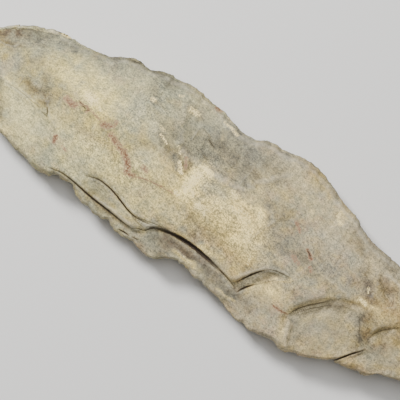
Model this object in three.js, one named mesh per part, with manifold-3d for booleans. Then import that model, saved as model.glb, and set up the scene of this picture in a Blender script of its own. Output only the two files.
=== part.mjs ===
// Flint chisel: a long stone tool, flaked on both faces, lying on its back.
// The bit is at -X and the narrower butt at +X. The worked face looks up, and the
// lower margin, at -Y, carries the deep stepped scars.

import * as THREE from 'three';
import { mergeVertices } from 'three/addons/utils/BufferGeometryUtils.js';
import Module from 'manifold-3d';

// Driving dimensions, in millimetres
const LENGTH = 150;          // bit to butt
const WIDTH = 43.6;          // across the widest point
const FACE_RISE = 8.6;       // edge up to the crown of the worked face
const BELLY_DROP = 9.9;      // edge down to the lowest line of the back
const REST_CUT = 0.5;        // how much of the back is flattened to lie on
const EDGE_ROUND = 1.2;      // how far in from the margin the edge is blunt
const UPPER_SPARE = 0.9;     // the face would run out this far past the upper margin
const LOWER_SPARE = 3;       // and this far past the lower one
const BELLY_SPARE = 0.6;     // the back runs out this far past both margins
const TERRACE_FLOOR = 4.5;   // height of each scar's floor over the edge, at its own point
const STRIP_FLOOR = 4.0;
const STEP_1_FLOOR = 5.9;
const STEP_2_FLOOR = 5.0;
const STEP_3_FLOOR = 4.6;
const THUMB_FLOOR = 0.7;

// How each surface falls away: higher numbers keep it full longer, then drop it faster
const UPPER_FALL = 2.2;      // from the crown to the upper margin
const LOWER_FALL = 1.85;     // from the crown to the lower margin
const BELLY_FALL = 2.2;      // from the lowest line of the back to both margins
const BIT_TAPER = [2.2, 0.8];     // along the stone towards the bit
const BUTT_TAPER = [3.6, 0.55];   // and towards the butt
const TIP_FULLNESS = 0.06;   // the section never thins to less than this share
const EDGE_CURVE = 0.75;     // how round the blunt edge is

// Half sizes and the height of the edge over the flat that the stone lies on
const HALF_LENGTH = LENGTH / 2;
const HALF_WIDTH = WIDTH / 2;
const EDGE_HEIGHT = BELLY_DROP - REST_CUT;

// Margins of the stone, bit to butt: percent of the length, percent of the half width
const UPPER_MARGIN = [
  [0, -8], [0.5, 9], [2.4, 23], [4.7, 38], [6.7, 48], [11.3, 58], [18, 63], [21.3, 73],
  [24.3, 83], [26.7, 81], [29.3, 89], [34.7, 94], [40.7, 91], [43.3, 86], [46.7, 83],
  [50.3, 93], [53, 94], [57.3, 100], [60.7, 97], [66.7, 82], [69, 79], [73.3, 66],
  [79.3, 61], [87.3, 47], [94, 26], [98, 7], [100, -11],
];
const LOWER_MARGIN = [
  [0, -8], [0.5, -27], [2.3, -47], [6, -65], [12, -78], [21, -89], [23.3, -87],
  [24.7, -82], [27.3, -81], [29.3, -89], [33.3, -93], [35.7, -91], [38.1, -96],
  [40.7, -93], [43.7, -98], [46, -95], [48.7, -84], [50.3, -82], [52.7, -87],
  [58, -90], [62, -98.6], [66, -99.6], [68.7, -95], [71.7, -98], [75.3, -89], [79.5, -75],
  [85.7, -66], [87.3, -58], [90.7, -48], [95.3, -42], [98.9, -29], [100, -11],
];

// How far each margin rides above or below the edge height, in percent of that height
const UPPER_WANDER = [[0, -6], [13, 2], [30, 6], [50, 0], [70, 4], [90, 2], [100, 0]];
const LOWER_WANDER = [[0, -6], [13, -3], [27, -1], [47, -3], [63, 0], [80, -4], [100, 0]];
const EDGE_CLIMB = 0.5;      // where a margin is bitten in, its edge rises by this share
const CLIMB_REACH = 0.35;    // and the rise dies out this share of the way across
const AVERAGE_REACH = 9;     // share of the length, percent, that a smoothed margin averages

// Broad shallow flake scars. at: percent places of the middle; depth: percent of the
// surface's rise or drop; head: degrees of the flake's run; long and wide: radii of its
// hollow along and across that run, in percent of the length.
const FACE_BOWLS = [
  { at: [8.7, 37], depth: 8, head: 22, long: 40, wide: 27 },
  { at: [20.7, 44], depth: 10.5, head: 8, long: 133, wide: 107 },
  { at: [42, 53], depth: 17.5, head: -6, long: 60, wide: 73 },
  { at: [61.3, 60], depth: 11.5, head: -35, long: 107, wide: 107 },
  { at: [74, 32], depth: 9, head: -15, long: 107, wide: 133 },
  { at: [88, 23], depth: 9, head: -20, long: 60, wide: 60 },
  { at: [9.5, -54], depth: 9, head: -3, long: 80, wide: 25 },
  { at: [24.7, -37], depth: 6, head: 5, long: 173, wide: 107 },
  { at: [40.7, -41], depth: 6, head: 5, long: 173, wide: 107 },
  { at: [52.7, -44], depth: 6, head: 5, long: 107, wide: 40 },
];
const BELLY_BOWLS = [
  { at: [9, 20], depth: 8, head: 20, long: 60, wide: 33 },
  { at: [14, -46], depth: 12, head: -70, long: 60, wide: 33 },
  { at: [26, 56], depth: 15, head: 75, long: 47, wide: 28 },
  { at: [33, -60], depth: 14, head: -78, long: 53, wide: 27 },
  { at: [42, 60], depth: 13, head: 96, long: 53, wide: 30 },
  { at: [51, -58], depth: 15, head: -92, long: 47, wide: 28 },
  { at: [60, 62], depth: 16, head: 102, long: 47, wide: 29 },
  { at: [70, -60], depth: 14, head: -104, long: 53, wide: 27 },
  { at: [78, 42], depth: 12, head: 108, long: 40, wide: 27 },
  { at: [88, -28], depth: 9, head: -20, long: 60, wide: 40 },
];
const SOFTNESS = 0.35;       // how far the crest between two bowls is worn down
const SLOPE_STEP = 3;        // the stone's slope is taken over this distance
const MARGIN_STEP = 0.2;     // and a margin's over this one

// Stepped scars. foot: the line where the wall meets the floor, percent places.
// at: where the floor has its own height; along and across: the floor's slopes;
// cup: radius of its hollow, in percent of the length; lean: how far the wall runs
// back for each millimetre that it rises; away: the side that the flake left by.
const STEPPED_SCARS = [
  {
    foot: [[26, -72], [27, -66], [28.3, -61], [30, -57], [32.3, -57], [35.3, -62], [38, -66],
      [40.7, -65], [42.6, -61], [43.6, -68], [44, -100], [44, -106]],
    at: [35.3, -66.5], height: TERRACE_FLOOR, along: 0, across: 0.42, cup: 267, lean: 0.35,
    away: [0, -1],
  },
  {
    foot: [[18.5, -106], [19.3, -94], [21, -83], [22.3, -78.5], [23.3, -76.5], [26, -74],
      [29.3, -77], [33.3, -79.5], [36.7, -81], [39.3, -82], [40.7, -79], [41.9, -71],
      [42.7, -65], [44.7, -61], [47.3, -58], [50, -58], [53.3, -60], [57.3, -65],
      [59.6, -70], [60.3, -80], [60.8, -94], [61, -106]],
    at: [50, -63], height: STRIP_FLOOR, along: 0, across: 0.6, cup: 333, lean: 0.3,
    away: [0, -1],
  },
  {
    foot: [[59.6, -106], [59.6, -92], [59.6, -76], [60, -65], [60.8, -56], [61.9, -47],
      [63.2, -36], [64.4, -29], [65.6, -25], [67.3, -26], [69.5, -34], [72, -50], [74, -75],
      [75, -106]],
    at: [63.2, -36], height: STEP_1_FLOOR, along: 0.2, across: 0.44, cup: 93, lean: 1,
    away: [0, -1],
  },
  {
    foot: [[73.2, -106], [72.4, -94], [71, -77], [69.9, -67], [69.8, -59], [70.7, -50], [72, -38],
      [73.6, -25], [75.3, -17], [77, -12.5], [78.6, -12], [79.6, -18], [80.9, -30],
      [81.9, -42], [82.3, -64], [82, -106]],
    at: [75.3, -20.6], height: STEP_2_FLOOR, along: 0, across: 0.3, cup: 80, lean: 0.7,
    away: [0, -1],
  },
  {
    foot: [[77.5, -106], [79, -89], [79.8, -74], [81.5, -57], [82.9, -43], [82.3, -30],
      [82.9, -14], [84.5, -4], [86.5, 5], [89.3, 12], [92.7, 7], [96, -14], [99.3, -55],
      [100.5, -80]],
    at: [84.7, -18.3], height: STEP_3_FLOOR, along: -0.08, across: 0.32, cup: 73, lean: 0.35,
    away: [0, -1],
  },
  {
    foot: [[4.6, 60], [5.4, 48], [6.4, 34], [6.6, 22], [5.6, 14], [3.6, 11], [1.5, 15], [-1, 20]],
    at: [4, 20], height: THUMB_FLOOR, along: 0.12, across: -0.1, cup: 20, lean: 0.4,
    away: [-0.75, 0.66],
  },
];

// Fineness of the facets
const STATIONS = 112;        // rows along the stone
const END_CROWDING = 0.5;    // how much the rows crowd towards the two ends
const FACE_COLUMNS = 11;     // columns across the worked face, between its blunt edges
const BELLY_COLUMNS = 7;     // columns across the back
const EDGE_ROWS = [0, 0.35, 1];   // columns inside the blunt edge, as shares of it
const EDGE_SHARE = 0.12;     // near the ends the blunt edge takes at most this share
const MARGIN_SAMPLES = 900;  // samples along a margin's curve
const AVERAGE_TAPS = 8;      // samples to each side in a smoothed margin
const FOOT_SAMPLES = 30;     // samples along a scar's foot
const FLOOR_ROWS = 6;        // rows across a scar's floor
const WALL_REACH = 4;        // a cutter's leaning wall is this high
const CUTTER_HEADROOM = 6;   // a cutter stands this far over the crown
const CUTTER_REACH = 9;      // and runs this far out past the stone

const FLINT_COLOR = 0xafa690;
const FLINT_ROUGHNESS = 0.72;

// A curve through percent places, as evenly read samples in millimetres
function curveThrough(places, samples, halfHeight = HALF_WIDTH / 100) {
  const points = places.map(([u, v]) => new THREE.Vector3(
    -HALF_LENGTH + (u / 100) * LENGTH,
    v * halfHeight,
    0,
  ));
  return new THREE.CatmullRomCurve3(points, false, 'centripetal').getPoints(samples);
}

// Reads a curve's Y at a given X
function reader(places, halfHeight) {
  const samples = curveThrough(places, MARGIN_SAMPLES, halfHeight);
  return (x) => {
    let low = 0;
    let high = samples.length - 1;
    while (high - low > 1) {
      const middle = (low + high) >> 1;
      if (samples[middle].x <= x) low = middle;
      else high = middle;
    }
    const a = samples[low];
    const b = samples[high];
    const share = THREE.MathUtils.clamp((x - a.x) / Math.max(b.x - a.x, 1e-9), 0, 1);
    return a.y + (b.y - a.y) * share;
  };
}

const upper = reader(UPPER_MARGIN);
const lower = reader(LOWER_MARGIN);
const upperWander = reader(UPPER_WANDER, EDGE_HEIGHT / 100);
const lowerWander = reader(LOWER_WANDER, EDGE_HEIGHT / 100);

// A margin with its bites and bumps averaged out
function smoothed(margin) {
  const reach = (AVERAGE_REACH / 100) * LENGTH;
  return (x) => {
    let sum = 0;
    let weights = 0;
    for (let tap = -AVERAGE_TAPS; tap <= AVERAGE_TAPS; tap += 1) {
      const weight = AVERAGE_TAPS + 1 - Math.abs(tap);
      const place = x + (tap / AVERAGE_TAPS) * reach;
      sum += margin(THREE.MathUtils.clamp(place, -HALF_LENGTH, HALF_LENGTH)) * weight;
      weights += weight;
    }
    return sum / weights;
  };
}

const smoothUpper = smoothed(upper);
const smoothLower = smoothed(lower);

// The height of the sharp edge, blended from margin to margin
function edgeHeight(x, y) {
  const share = THREE.MathUtils.clamp((y - lower(x)) / Math.max(upper(x) - lower(x), 1e-6), 0, 1);
  const wander = lowerWander(x) * (1 - share) + upperWander(x) * share;
  const nearLower = Math.max(1 - share / CLIMB_REACH, 0) ** 2;
  const nearUpper = Math.max(1 - (1 - share) / CLIMB_REACH, 0) ** 2;
  const bite = (lower(x) - smoothLower(x)) * nearLower + (smoothUpper(x) - upper(x)) * nearUpper;
  return EDGE_HEIGHT + wander + EDGE_CLIMB * endFade(x) * bite;
}

// One along the stone, falling to nothing at the two ends
function endFade(x) {
  const reach = (AVERAGE_REACH / 100) * LENGTH;
  return THREE.MathUtils.clamp((HALF_LENGTH - Math.abs(x)) / reach, 0, 1);
}

// How full the section is along the stone: the bit thins out early, the butt late
function fullness(x) {
  const share = Math.min(Math.abs(x) / HALF_LENGTH, 1);
  const [late, round] = x < 0 ? BIT_TAPER : BUTT_TAPER;
  return TIP_FULLNESS + (1 - TIP_FULLNESS) * (1 - share ** late) ** round;
}

// Nothing at the margin, one where the blunt edge ends
function bluntness(x, y) {
  const slope = (margin) => (margin(x + MARGIN_STEP) - margin(x - MARGIN_STEP)) / (2 * MARGIN_STEP);
  const fromUpper = (upper(x) - y) / Math.hypot(1, slope(upper));
  const fromLower = (y - lower(x)) / Math.hypot(1, slope(lower));
  const share = THREE.MathUtils.clamp(Math.min(fromUpper, fromLower) / EDGE_ROUND, 0, 1);
  return (1 - (1 - share) ** 2) ** EDGE_CURVE;
}

// How far out a point lies from the middle line, one where the face would run out
function outness(x, y, spareUp, spareDown) {
  const top = smoothUpper(x) + spareUp;
  const bottom = smoothLower(x) - spareDown;
  const crest = (smoothUpper(x) + smoothLower(x)) / 2;
  const share = y > crest ? (y - crest) / (top - crest) : (crest - y) / (crest - bottom);
  return { share: Math.min(share, 1), above: y > crest };
}

// The worked face and the back before any flake is struck off
function plainFace(x, y) {
  const { share, above } = outness(x, y, UPPER_SPARE, LOWER_SPARE);
  const fall = share ** (above ? UPPER_FALL : LOWER_FALL);
  return edgeHeight(x, y) + FACE_RISE * fullness(x) * (1 - fall);
}

function plainBelly(x, y) {
  const { share } = outness(x, y, BELLY_SPARE, BELLY_SPARE);
  return edgeHeight(x, y) - BELLY_DROP * fullness(x) * (1 - share ** BELLY_FALL);
}

// A bowl hollowed into a surface: side is 1 for the face and -1 for the back
function bowlReader(bowl, surface, side) {
  const depth = (bowl.depth / 100) * (side > 0 ? FACE_RISE : BELLY_DROP);
  const long = (bowl.long / 100) * LENGTH;
  const wide = (bowl.wide / 100) * LENGTH;
  const cx = -HALF_LENGTH + (bowl.at[0] / 100) * LENGTH;
  const cy = (bowl.at[1] / 100) * HALF_WIDTH;
  const level = surface(cx, cy) - side * depth;
  const slopeX = (surface(cx + SLOPE_STEP, cy) - surface(cx - SLOPE_STEP, cy)) / (2 * SLOPE_STEP);
  const slopeY = (surface(cx, cy + SLOPE_STEP) - surface(cx, cy - SLOPE_STEP)) / (2 * SLOPE_STEP);
  const head = THREE.MathUtils.degToRad(bowl.head);
  return (x, y) => {
    const dx = x - cx;
    const dy = y - cy;
    const run = dx * Math.cos(head) + dy * Math.sin(head);
    const off = dy * Math.cos(head) - dx * Math.sin(head);
    const hollow = (run * run) / (2 * long) + (off * off) / (2 * wide);
    return level + slopeX * dx + slopeY * dy + side * hollow;
  };
}

// The smaller of two heights, with the crest between them worn round
function softMin(a, b) {
  const share = THREE.MathUtils.clamp(0.5 + (0.5 * (b - a)) / SOFTNESS, 0, 1);
  return b * (1 - share) + a * share - SOFTNESS * share * (1 - share);
}

const faceBowls = FACE_BOWLS.map((bowl) => bowlReader(bowl, plainFace, 1));
const bellyBowls = BELLY_BOWLS.map((bowl) => bowlReader(bowl, plainBelly, -1));

function faceHeight(x, y) {
  const edge = edgeHeight(x, y);
  const height = faceBowls.reduce((z, bowl) => softMin(z, bowl(x, y)), plainFace(x, y));
  return edge + Math.max(height - edge, 0) * bluntness(x, y);
}

function bellyHeight(x, y) {
  const edge = edgeHeight(x, y);
  const height = bellyBowls.reduce((z, bowl) => -softMin(-z, -bowl(x, y)), plainBelly(x, y));
  return Math.max(edge - Math.max(edge - height, 0) * bluntness(x, y), 0);
}

// The places across the stone at one station, lower margin to upper margin
function columnPlaces(x, columns) {
  const bottom = lower(x);
  const width = upper(x) - bottom;
  const edge = Math.min(EDGE_ROUND, EDGE_SHARE * width);
  const places = EDGE_ROWS.map((share) => share * edge);
  for (let column = 1; column < columns; column += 1) {
    places.push(edge + (column / columns) * (width - 2 * edge));
  }
  places.push(...EDGE_ROWS.map((share) => width - share * edge).reverse());
  return places.map((place) => bottom + place);
}

// A closed geometry from a flat list of corners and their triangles
function closedGeometry(corners, triangles) {
  const geometry = new THREE.BufferGeometry();
  geometry.setAttribute('position', new THREE.Float32BufferAttribute(corners.flat(), 3));
  geometry.setIndex(triangles.flat());
  return geometry;
}

// The rows along the stone, crowded towards the ends
function stationPlaces() {
  const places = [];
  for (let row = 1; row < STATIONS; row += 1) {
    const share = row / STATIONS;
    const crowded = (1 - Math.cos(Math.PI * share)) / 2;
    places.push(-HALF_LENGTH + LENGTH * (share * (1 - END_CROWDING) + crowded * END_CROWDING));
  }
  return places;
}

// The flaked body: a face and a back that meet along both margins and at the two tips
function bodyGeometry() {
  const corners = [];
  const triangles = [];
  const add = (x, y, z) => corners.push([x, y, z]) - 1;
  const addTip = (x) => add(x, lower(x), edgeHeight(x, lower(x)));
  const bitTip = addTip(-HALF_LENGTH);
  const buttTip = addTip(HALF_LENGTH);
  const rows = stationPlaces().map((x) => {
    const faceYs = columnPlaces(x, FACE_COLUMNS);
    const bellyYs = columnPlaces(x, BELLY_COLUMNS);
    const face = faceYs.map((y) => add(x, y, faceHeight(x, y)));
    const inner = bellyYs.slice(1, -1).map((y) => add(x, y, bellyHeight(x, y)));
    return { face, belly: [face[0], ...inner, face[face.length - 1]] };
  });
  const quad = (a, b, c, d) => triangles.push([a, b, c], [a, c, d]);
  for (let row = 0; row + 1 < rows.length; row += 1) {
    const here = rows[row];
    const next = rows[row + 1];
    for (let i = 0; i + 1 < here.face.length; i += 1) {
      quad(here.face[i], next.face[i], next.face[i + 1], here.face[i + 1]);
    }
    for (let i = 0; i + 1 < here.belly.length; i += 1) {
      quad(here.belly[i], here.belly[i + 1], next.belly[i + 1], next.belly[i]);
    }
  }
  const first = rows[0];
  const last = rows[rows.length - 1];
  for (let i = 0; i + 1 < first.face.length; i += 1) {
    triangles.push([bitTip, first.face[i], first.face[i + 1]]);
    triangles.push([buttTip, last.face[i + 1], last.face[i]]);
  }
  for (let i = 0; i + 1 < first.belly.length; i += 1) {
    triangles.push([bitTip, first.belly[i + 1], first.belly[i]]);
    triangles.push([buttTip, last.belly[i], last.belly[i + 1]]);
  }
  return closedGeometry(corners, triangles);
}

// What a stepped scar takes away: a cupped floor, a leaning wall and open air above
function scarGeometry(scar) {
  const feet = curveThrough(scar.foot, FOOT_SAMPLES);
  const cx = -HALF_LENGTH + (scar.at[0] / 100) * LENGTH;
  const cy = (scar.at[1] / 100) * HALF_WIDTH;
  const cup = (scar.cup / 100) * LENGTH;
  const floor = (x, y) => {
    const dx = x - cx;
    const dy = y - cy;
    const hollow = (dx * dx + dy * dy) / (2 * cup);
    return EDGE_HEIGHT + scar.height + scar.along * dx + scar.across * dy + hollow;
  };
  const top = EDGE_HEIGHT + FACE_RISE + CUTTER_HEADROOM;
  const [awayX, awayY] = scar.away;
  const start = feet[0];
  const end = feet[FOOT_SAMPLES];
  const corners = [];
  feet.forEach((foot, i) => {
    const before = feet[Math.max(i - 1, 0)];
    const after = feet[Math.min(i + 1, FOOT_SAMPLES)];
    const run = Math.hypot(after.x - before.x, after.y - before.y);
    const wallX = foot.x - ((after.y - before.y) / run) * scar.lean * WALL_REACH;
    const wallY = foot.y + ((after.x - before.x) / run) * scar.lean * WALL_REACH;
    corners.push([wallX, wallY, top], [wallX, wallY, floor(foot.x, foot.y) + WALL_REACH]);
    const share = i / FOOT_SAMPLES;
    const outX = start.x + (end.x - start.x) * share + awayX * CUTTER_REACH;
    const outY = start.y + (end.y - start.y) * share + awayY * CUTTER_REACH;
    for (let row = 0; row <= FLOOR_ROWS; row += 1) {
      const x = foot.x + ((outX - foot.x) * row) / FLOOR_ROWS;
      const y = foot.y + ((outY - foot.y) * row) / FLOOR_ROWS;
      corners.push([x, y, floor(x, y)]);
    }
    corners.push([outX, outY, top]);
  });
  const ring = FLOOR_ROWS + 4;
  const triangles = [];
  for (let i = 0; i < FOOT_SAMPLES; i += 1) {
    for (let j = 0; j < ring; j += 1) {
      const a = i * ring + j;
      const b = i * ring + ((j + 1) % ring);
      triangles.push([a, b + ring, b], [a, a + ring, b + ring]);
    }
  }
  const lastRing = FOOT_SAMPLES * ring;
  for (let j = 1; j + 1 < ring; j += 1) {
    triangles.push([0, j, j + 1], [lastRing, lastRing + j + 1, lastRing + j]);
  }
  return closedGeometry(corners, triangles);
}

const wasm = await Module();
wasm.setup();

function toSolid(geometry) {
  const merged = mergeVertices(geometry);
  return new wasm.Manifold(new wasm.Mesh({
    numProp: 3,
    vertProperties: new Float32Array(merged.attributes.position.array),
    triVerts: new Uint32Array(merged.index.array),
  }));
}

function toGeometry(solid) {
  const mesh = solid.getMesh();
  const geometry = new THREE.BufferGeometry();
  geometry.setAttribute('position', new THREE.BufferAttribute(mesh.vertProperties, 3));
  geometry.setIndex(new THREE.BufferAttribute(mesh.triVerts, 1));
  geometry.computeVertexNormals();
  return geometry;
}

// The stepped scars are struck off one after the other, bit first
function chiselGeometry() {
  const body = toSolid(bodyGeometry());
  const strike = (stone, scar) => stone.subtract(toSolid(scarGeometry(scar)));
  return toGeometry(STEPPED_SCARS.reduce(strike, body));
}

const flint = new THREE.MeshStandardMaterial({
  color: FLINT_COLOR,
  roughness: FLINT_ROUGHNESS,
  metalness: 0,
  flatShading: true,
});

const chisel = new THREE.Mesh(chiselGeometry(), flint);
chisel.name = 'chisel';

const model = new THREE.Group();
model.add(chisel);

export default model;
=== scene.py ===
import math
import random

import bmesh
import bpy
import numpy as np
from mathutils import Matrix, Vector, noise
from mathutils.bvhtree import BVHTree


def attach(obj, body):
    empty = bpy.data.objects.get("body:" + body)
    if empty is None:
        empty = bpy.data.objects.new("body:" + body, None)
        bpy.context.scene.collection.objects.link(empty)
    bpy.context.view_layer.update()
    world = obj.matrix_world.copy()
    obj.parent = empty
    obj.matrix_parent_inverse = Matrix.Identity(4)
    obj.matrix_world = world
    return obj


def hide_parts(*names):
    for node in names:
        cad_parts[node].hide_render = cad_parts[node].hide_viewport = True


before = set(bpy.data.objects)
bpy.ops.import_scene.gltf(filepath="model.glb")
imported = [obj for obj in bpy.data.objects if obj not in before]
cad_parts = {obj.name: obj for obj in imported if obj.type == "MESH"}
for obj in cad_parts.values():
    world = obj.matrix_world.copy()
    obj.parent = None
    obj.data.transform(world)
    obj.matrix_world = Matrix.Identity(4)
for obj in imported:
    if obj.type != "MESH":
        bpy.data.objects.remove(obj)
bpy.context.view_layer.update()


# The view: the stone lies on its back and the camera looks straight down on the worked
# face, turned so that the stone runs from the upper left to the lower right and both of
# its ends pass out of the frame.
MM = 0.001
VIEW_MIDDLE = (-5.84 * MM, -2.01 * MM)
VIEW_TURN = math.radians(35)
VIEW_WIDTH = 100 * MM
FOCUS_HEIGHT = 10 * MM   # at this height over the table the view is that wide
LENS = 200
SENSOR = 36

camera_data = bpy.data.cameras.new("camera")
camera_data.lens = LENS
camera_data.sensor_width = SENSOR
camera = bpy.data.objects.new("camera", camera_data)
camera.location = (*VIEW_MIDDLE, FOCUS_HEIGHT + VIEW_WIDTH * LENS / SENSOR)
camera.rotation_euler = (0, 0, VIEW_TURN)
bpy.context.scene.collection.objects.link(camera)
bpy.context.scene.camera = camera


# The form of the stone: one piece of grey-olive flint. Its outline and its big flake
# scars are those of the solid, so a fine net is laid over the solid's two sides and the
# facets are eased off it, while the walls of the stepped scars stay sharp.
ROWS = 540               # along the stone
ROW_CROWDING = 0.25      # how much the rows crowd towards the two ends
FACE_LOWER_COLUMNS = 76  # across the face, from the lower margin to the middle
FACE_UPPER_COLUMNS = 54  # and from the middle to the upper margin
BACK_COLUMNS = 44        # across the back
ROW_OFFSET = 0.0007      # keeps a row off the solid's own rows
MERGE_GAP = 1e-7         # corners closer than this, in metres, are one
CAST_HEIGHT = 50 * MM
WALL_SLOPE = 0.78        # steeper than this is a wall, and isn't eased
EASE_ROUNDS = 70
WALL_ROUNDS = 3          # in the last rounds the walls are eased too
EASE_STEP = 0.2
RESTING = 0.02           # lower than this the back lies on the table and stays flat
TINY = 0.001             # keeps lengths off nought, and heights this near are the same


def merged_copy(node):
    shape = bmesh.new()
    shape.from_mesh(node.data)
    bmesh.ops.remove_doubles(shape, verts=shape.verts, dist=MERGE_GAP)
    shape.verts.ensure_lookup_table()
    return shape


def row_places(reach):
    share = np.linspace(0, 1, ROWS + 1)
    crowded = (1 - np.cos(np.pi * share)) / 2
    return -reach + 2 * reach * (share * (1 - ROW_CROWDING) + crowded * ROW_CROWDING)


def read_margins(shape, rows):
    """The outermost points of the solid at each row, in millimetres, lower then upper."""
    corners = np.array([v.co for v in shape.verts]) / MM
    ends = np.array([[v.index for v in edge.verts] for edge in shape.edges])
    a, b = corners[ends[:, 0]], corners[ends[:, 1]]
    tips = corners[corners[:, 0].argmin()], corners[corners[:, 0].argmax()]
    lower, upper = [tips[0]], [tips[0]]
    for x in rows[1:-1] + ROW_OFFSET:
        crossing = (a[:, 0] - x) * (b[:, 0] - x) < 0
        p, q = a[crossing], b[crossing]
        share = (x - p[:, 0]) / (q[:, 0] - p[:, 0])
        cut = p + (q - p) * share[:, None]
        lower.append(cut[cut[:, 1].argmin()])
        upper.append(cut[cut[:, 1].argmax()])
    return np.array(lower + [tips[1]]), np.array(upper + [tips[1]])


def lay_net(tree, lower, upper, shares, side):
    """X, Y and Z of a net over one side of the solid, in millimetres."""
    x = np.repeat(lower[:, :1], len(shares), axis=1)
    y = lower[:, 1:2] + (upper[:, 1:2] - lower[:, 1:2]) * shares[None, :]
    z = lower[:, 2:3] + (upper[:, 2:3] - lower[:, 2:3]) * shares[None, :]
    down = Vector((0, 0, -side))
    for i in range(1, x.shape[0] - 1):
        for j in range(1, x.shape[1] - 1):
            start = Vector((x[i, j] * MM, y[i, j] * MM, side * CAST_HEIGHT))
            hit = tree.ray_cast(start, down)[0]
            if hit is not None:
                z[i, j] = hit.z / MM
    return x, y, z


def ease(x, y, z):
    """Smooths the net's heights along both of its directions, but not across walls."""
    z = z.copy()
    steps = [np.maximum(np.hypot(np.diff(x, axis=a), np.diff(y, axis=a)), TINY) for a in (0, 1)]
    open_ways = [np.abs(np.diff(z, axis=a)) < WALL_SLOPE * steps[a] for a in (0, 1)]
    for turn in range(EASE_ROUNDS + WALL_ROUNDS):
        flows = [np.diff(z, axis=a) for a in (0, 1)]
        if turn < EASE_ROUNDS:
            flows = [flow * way for flow, way in zip(flows, open_ways)]
        change = np.zeros_like(z)
        change[:-1] += flows[0]
        change[1:] -= flows[0]
        change[:, :-1] += flows[1]
        change[:, 1:] -= flows[1]
        z[1:-1, 1:-1] += EASE_STEP * change[1:-1, 1:-1]
    return z


rough_out = merged_copy(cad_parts["chisel"])
solid_tree = BVHTree.FromBMesh(rough_out)
rows = row_places(max(abs(v.co.x) for v in rough_out.verts) / MM)
lower_margin, upper_margin = read_margins(rough_out, rows)
rough_out.free()
face_shares = np.concatenate([
    np.linspace(0, 0.5, FACE_LOWER_COLUMNS, endpoint=False),
    np.linspace(0.5, 1, FACE_UPPER_COLUMNS + 1),
])
back_shares = np.linspace(0, 1, BACK_COLUMNS + 1)


# The edges: both margins were trimmed by small blows, so they are nibbled all along and
# carry a fringe of little scallops on each side of the stone. A bite is a larger one, with
# its place along the stone, half its width and its depth in millimetres.
NIBBLE = 0.32
NIBBLE_LENGTH = 1.5
FINE_NIBBLE = 0.2
FINE_NIBBLE_LENGTH = 0.5
NIBBLE_LAYERS = (0, 5)       # the coarse and the fine one are cut from the noise apart
LOWER_SEED = 1.5
UPPER_SEED = 8.5
LOWER_BITES = [(-54.2, 2.2, 0.4), (-48.3, 2.6, 0.4), (-38.9, 1.3, 0.8), (-34.6, 1.1, 0.45),
               (-27.9, 1.6, 0.5), (-21.8, 1.2, 0.45), (-3.9, 2.8, 0.8), (5.8, 1.5, 0.55),
               (20.9, 1.2, 0.35), (29.6, 1.3, 0.35), (35, 1.5, 0.45), (44.2, 0.8, 0.5),
               (50.8, 1.2, 0.35), (55.4, 1.5, 0.6)]
UPPER_BITES = [(-44.5, 1.5, 0.35), (-27, 2.0, 0.45), (-17, 3.2, 0.4), (-2.6, 1.4, 0.35),
               (31.5, 1.2, 0.25)]
BITE_ROUNDNESS = 0.8
DEEPEST_BITE = 0.25          # as a share of half the stone's width there
FACE_SCALLOPS = {"seed": 11, "count": 170, "radii": (1.0, 2.8), "depths": (0.1, 0.4)}
BACK_SCALLOPS = {"seed": 12, "count": 120, "radii": (1.5, 4.5), "depths": (0.15, 0.6)}
SCALLOP_OVERHANG = (0.1, 0.5)  # how far its middle lies off the margin, in radii
SCALLOP_ROUNDNESS = 0.7
BARE_ROWS = 6                # at each tip, with no scallop


def nibble(x, seed, bites):
    coarse_layer, fine_layer = NIBBLE_LAYERS
    coarse = abs(noise.noise(Vector((x / NIBBLE_LENGTH, seed, coarse_layer)))) * NIBBLE
    fine = abs(noise.noise(Vector((x / FINE_NIBBLE_LENGTH, seed, fine_layer)))) * FINE_NIBBLE
    bitten = sum(deep * max(0, 1 - ((x - at) / half) ** 2) ** BITE_ROUNDNESS
                 for at, half, deep in bites)
    return coarse + fine + bitten


half_gap = (upper_margin[:, 1] - lower_margin[:, 1]) / 2
for i in range(1, ROWS):
    deepest = half_gap[i] * DEEPEST_BITE
    lower_margin[i, 1] += min(nibble(rows[i], LOWER_SEED, LOWER_BITES), deepest)
    upper_margin[i, 1] -= min(nibble(rows[i], UPPER_SEED, UPPER_BITES), deepest)

face_x, face_y, face_z = lay_net(solid_tree, lower_margin, upper_margin, face_shares, 1)
back_x, back_y, back_z = lay_net(solid_tree, lower_margin, upper_margin, back_shares, -1)
face_z = ease(face_x, face_y, face_z)
back_z = np.where(back_z > RESTING, ease(back_x, back_y, back_z), back_z)


def trim_scallops(x, y, z, side, seed, count, radii, depths):
    """Presses a fringe of small round scallops into one side, along both margins."""
    draw = random.Random(seed)
    for _ in range(count):
        row = draw.randrange(BARE_ROWS, ROWS - BARE_ROWS)
        margin = draw.choice((lower_margin, upper_margin))
        radius = draw.uniform(*radii)
        inward = 1 if margin is lower_margin else -1
        at_x = margin[row, 0]
        at_y = margin[row, 1] - inward * radius * draw.uniform(*SCALLOP_OVERHANG)
        near = np.hypot(x - at_x, y - at_y) / radius
        depth = draw.uniform(*depths)
        z -= side * depth * np.clip(1 - near ** 2, 0, 1) ** SCALLOP_ROUNDNESS


trim_scallops(face_x, face_y, face_z, 1, **FACE_SCALLOPS)
trim_scallops(back_x, back_y, back_z, -1, **BACK_SCALLOPS)


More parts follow.
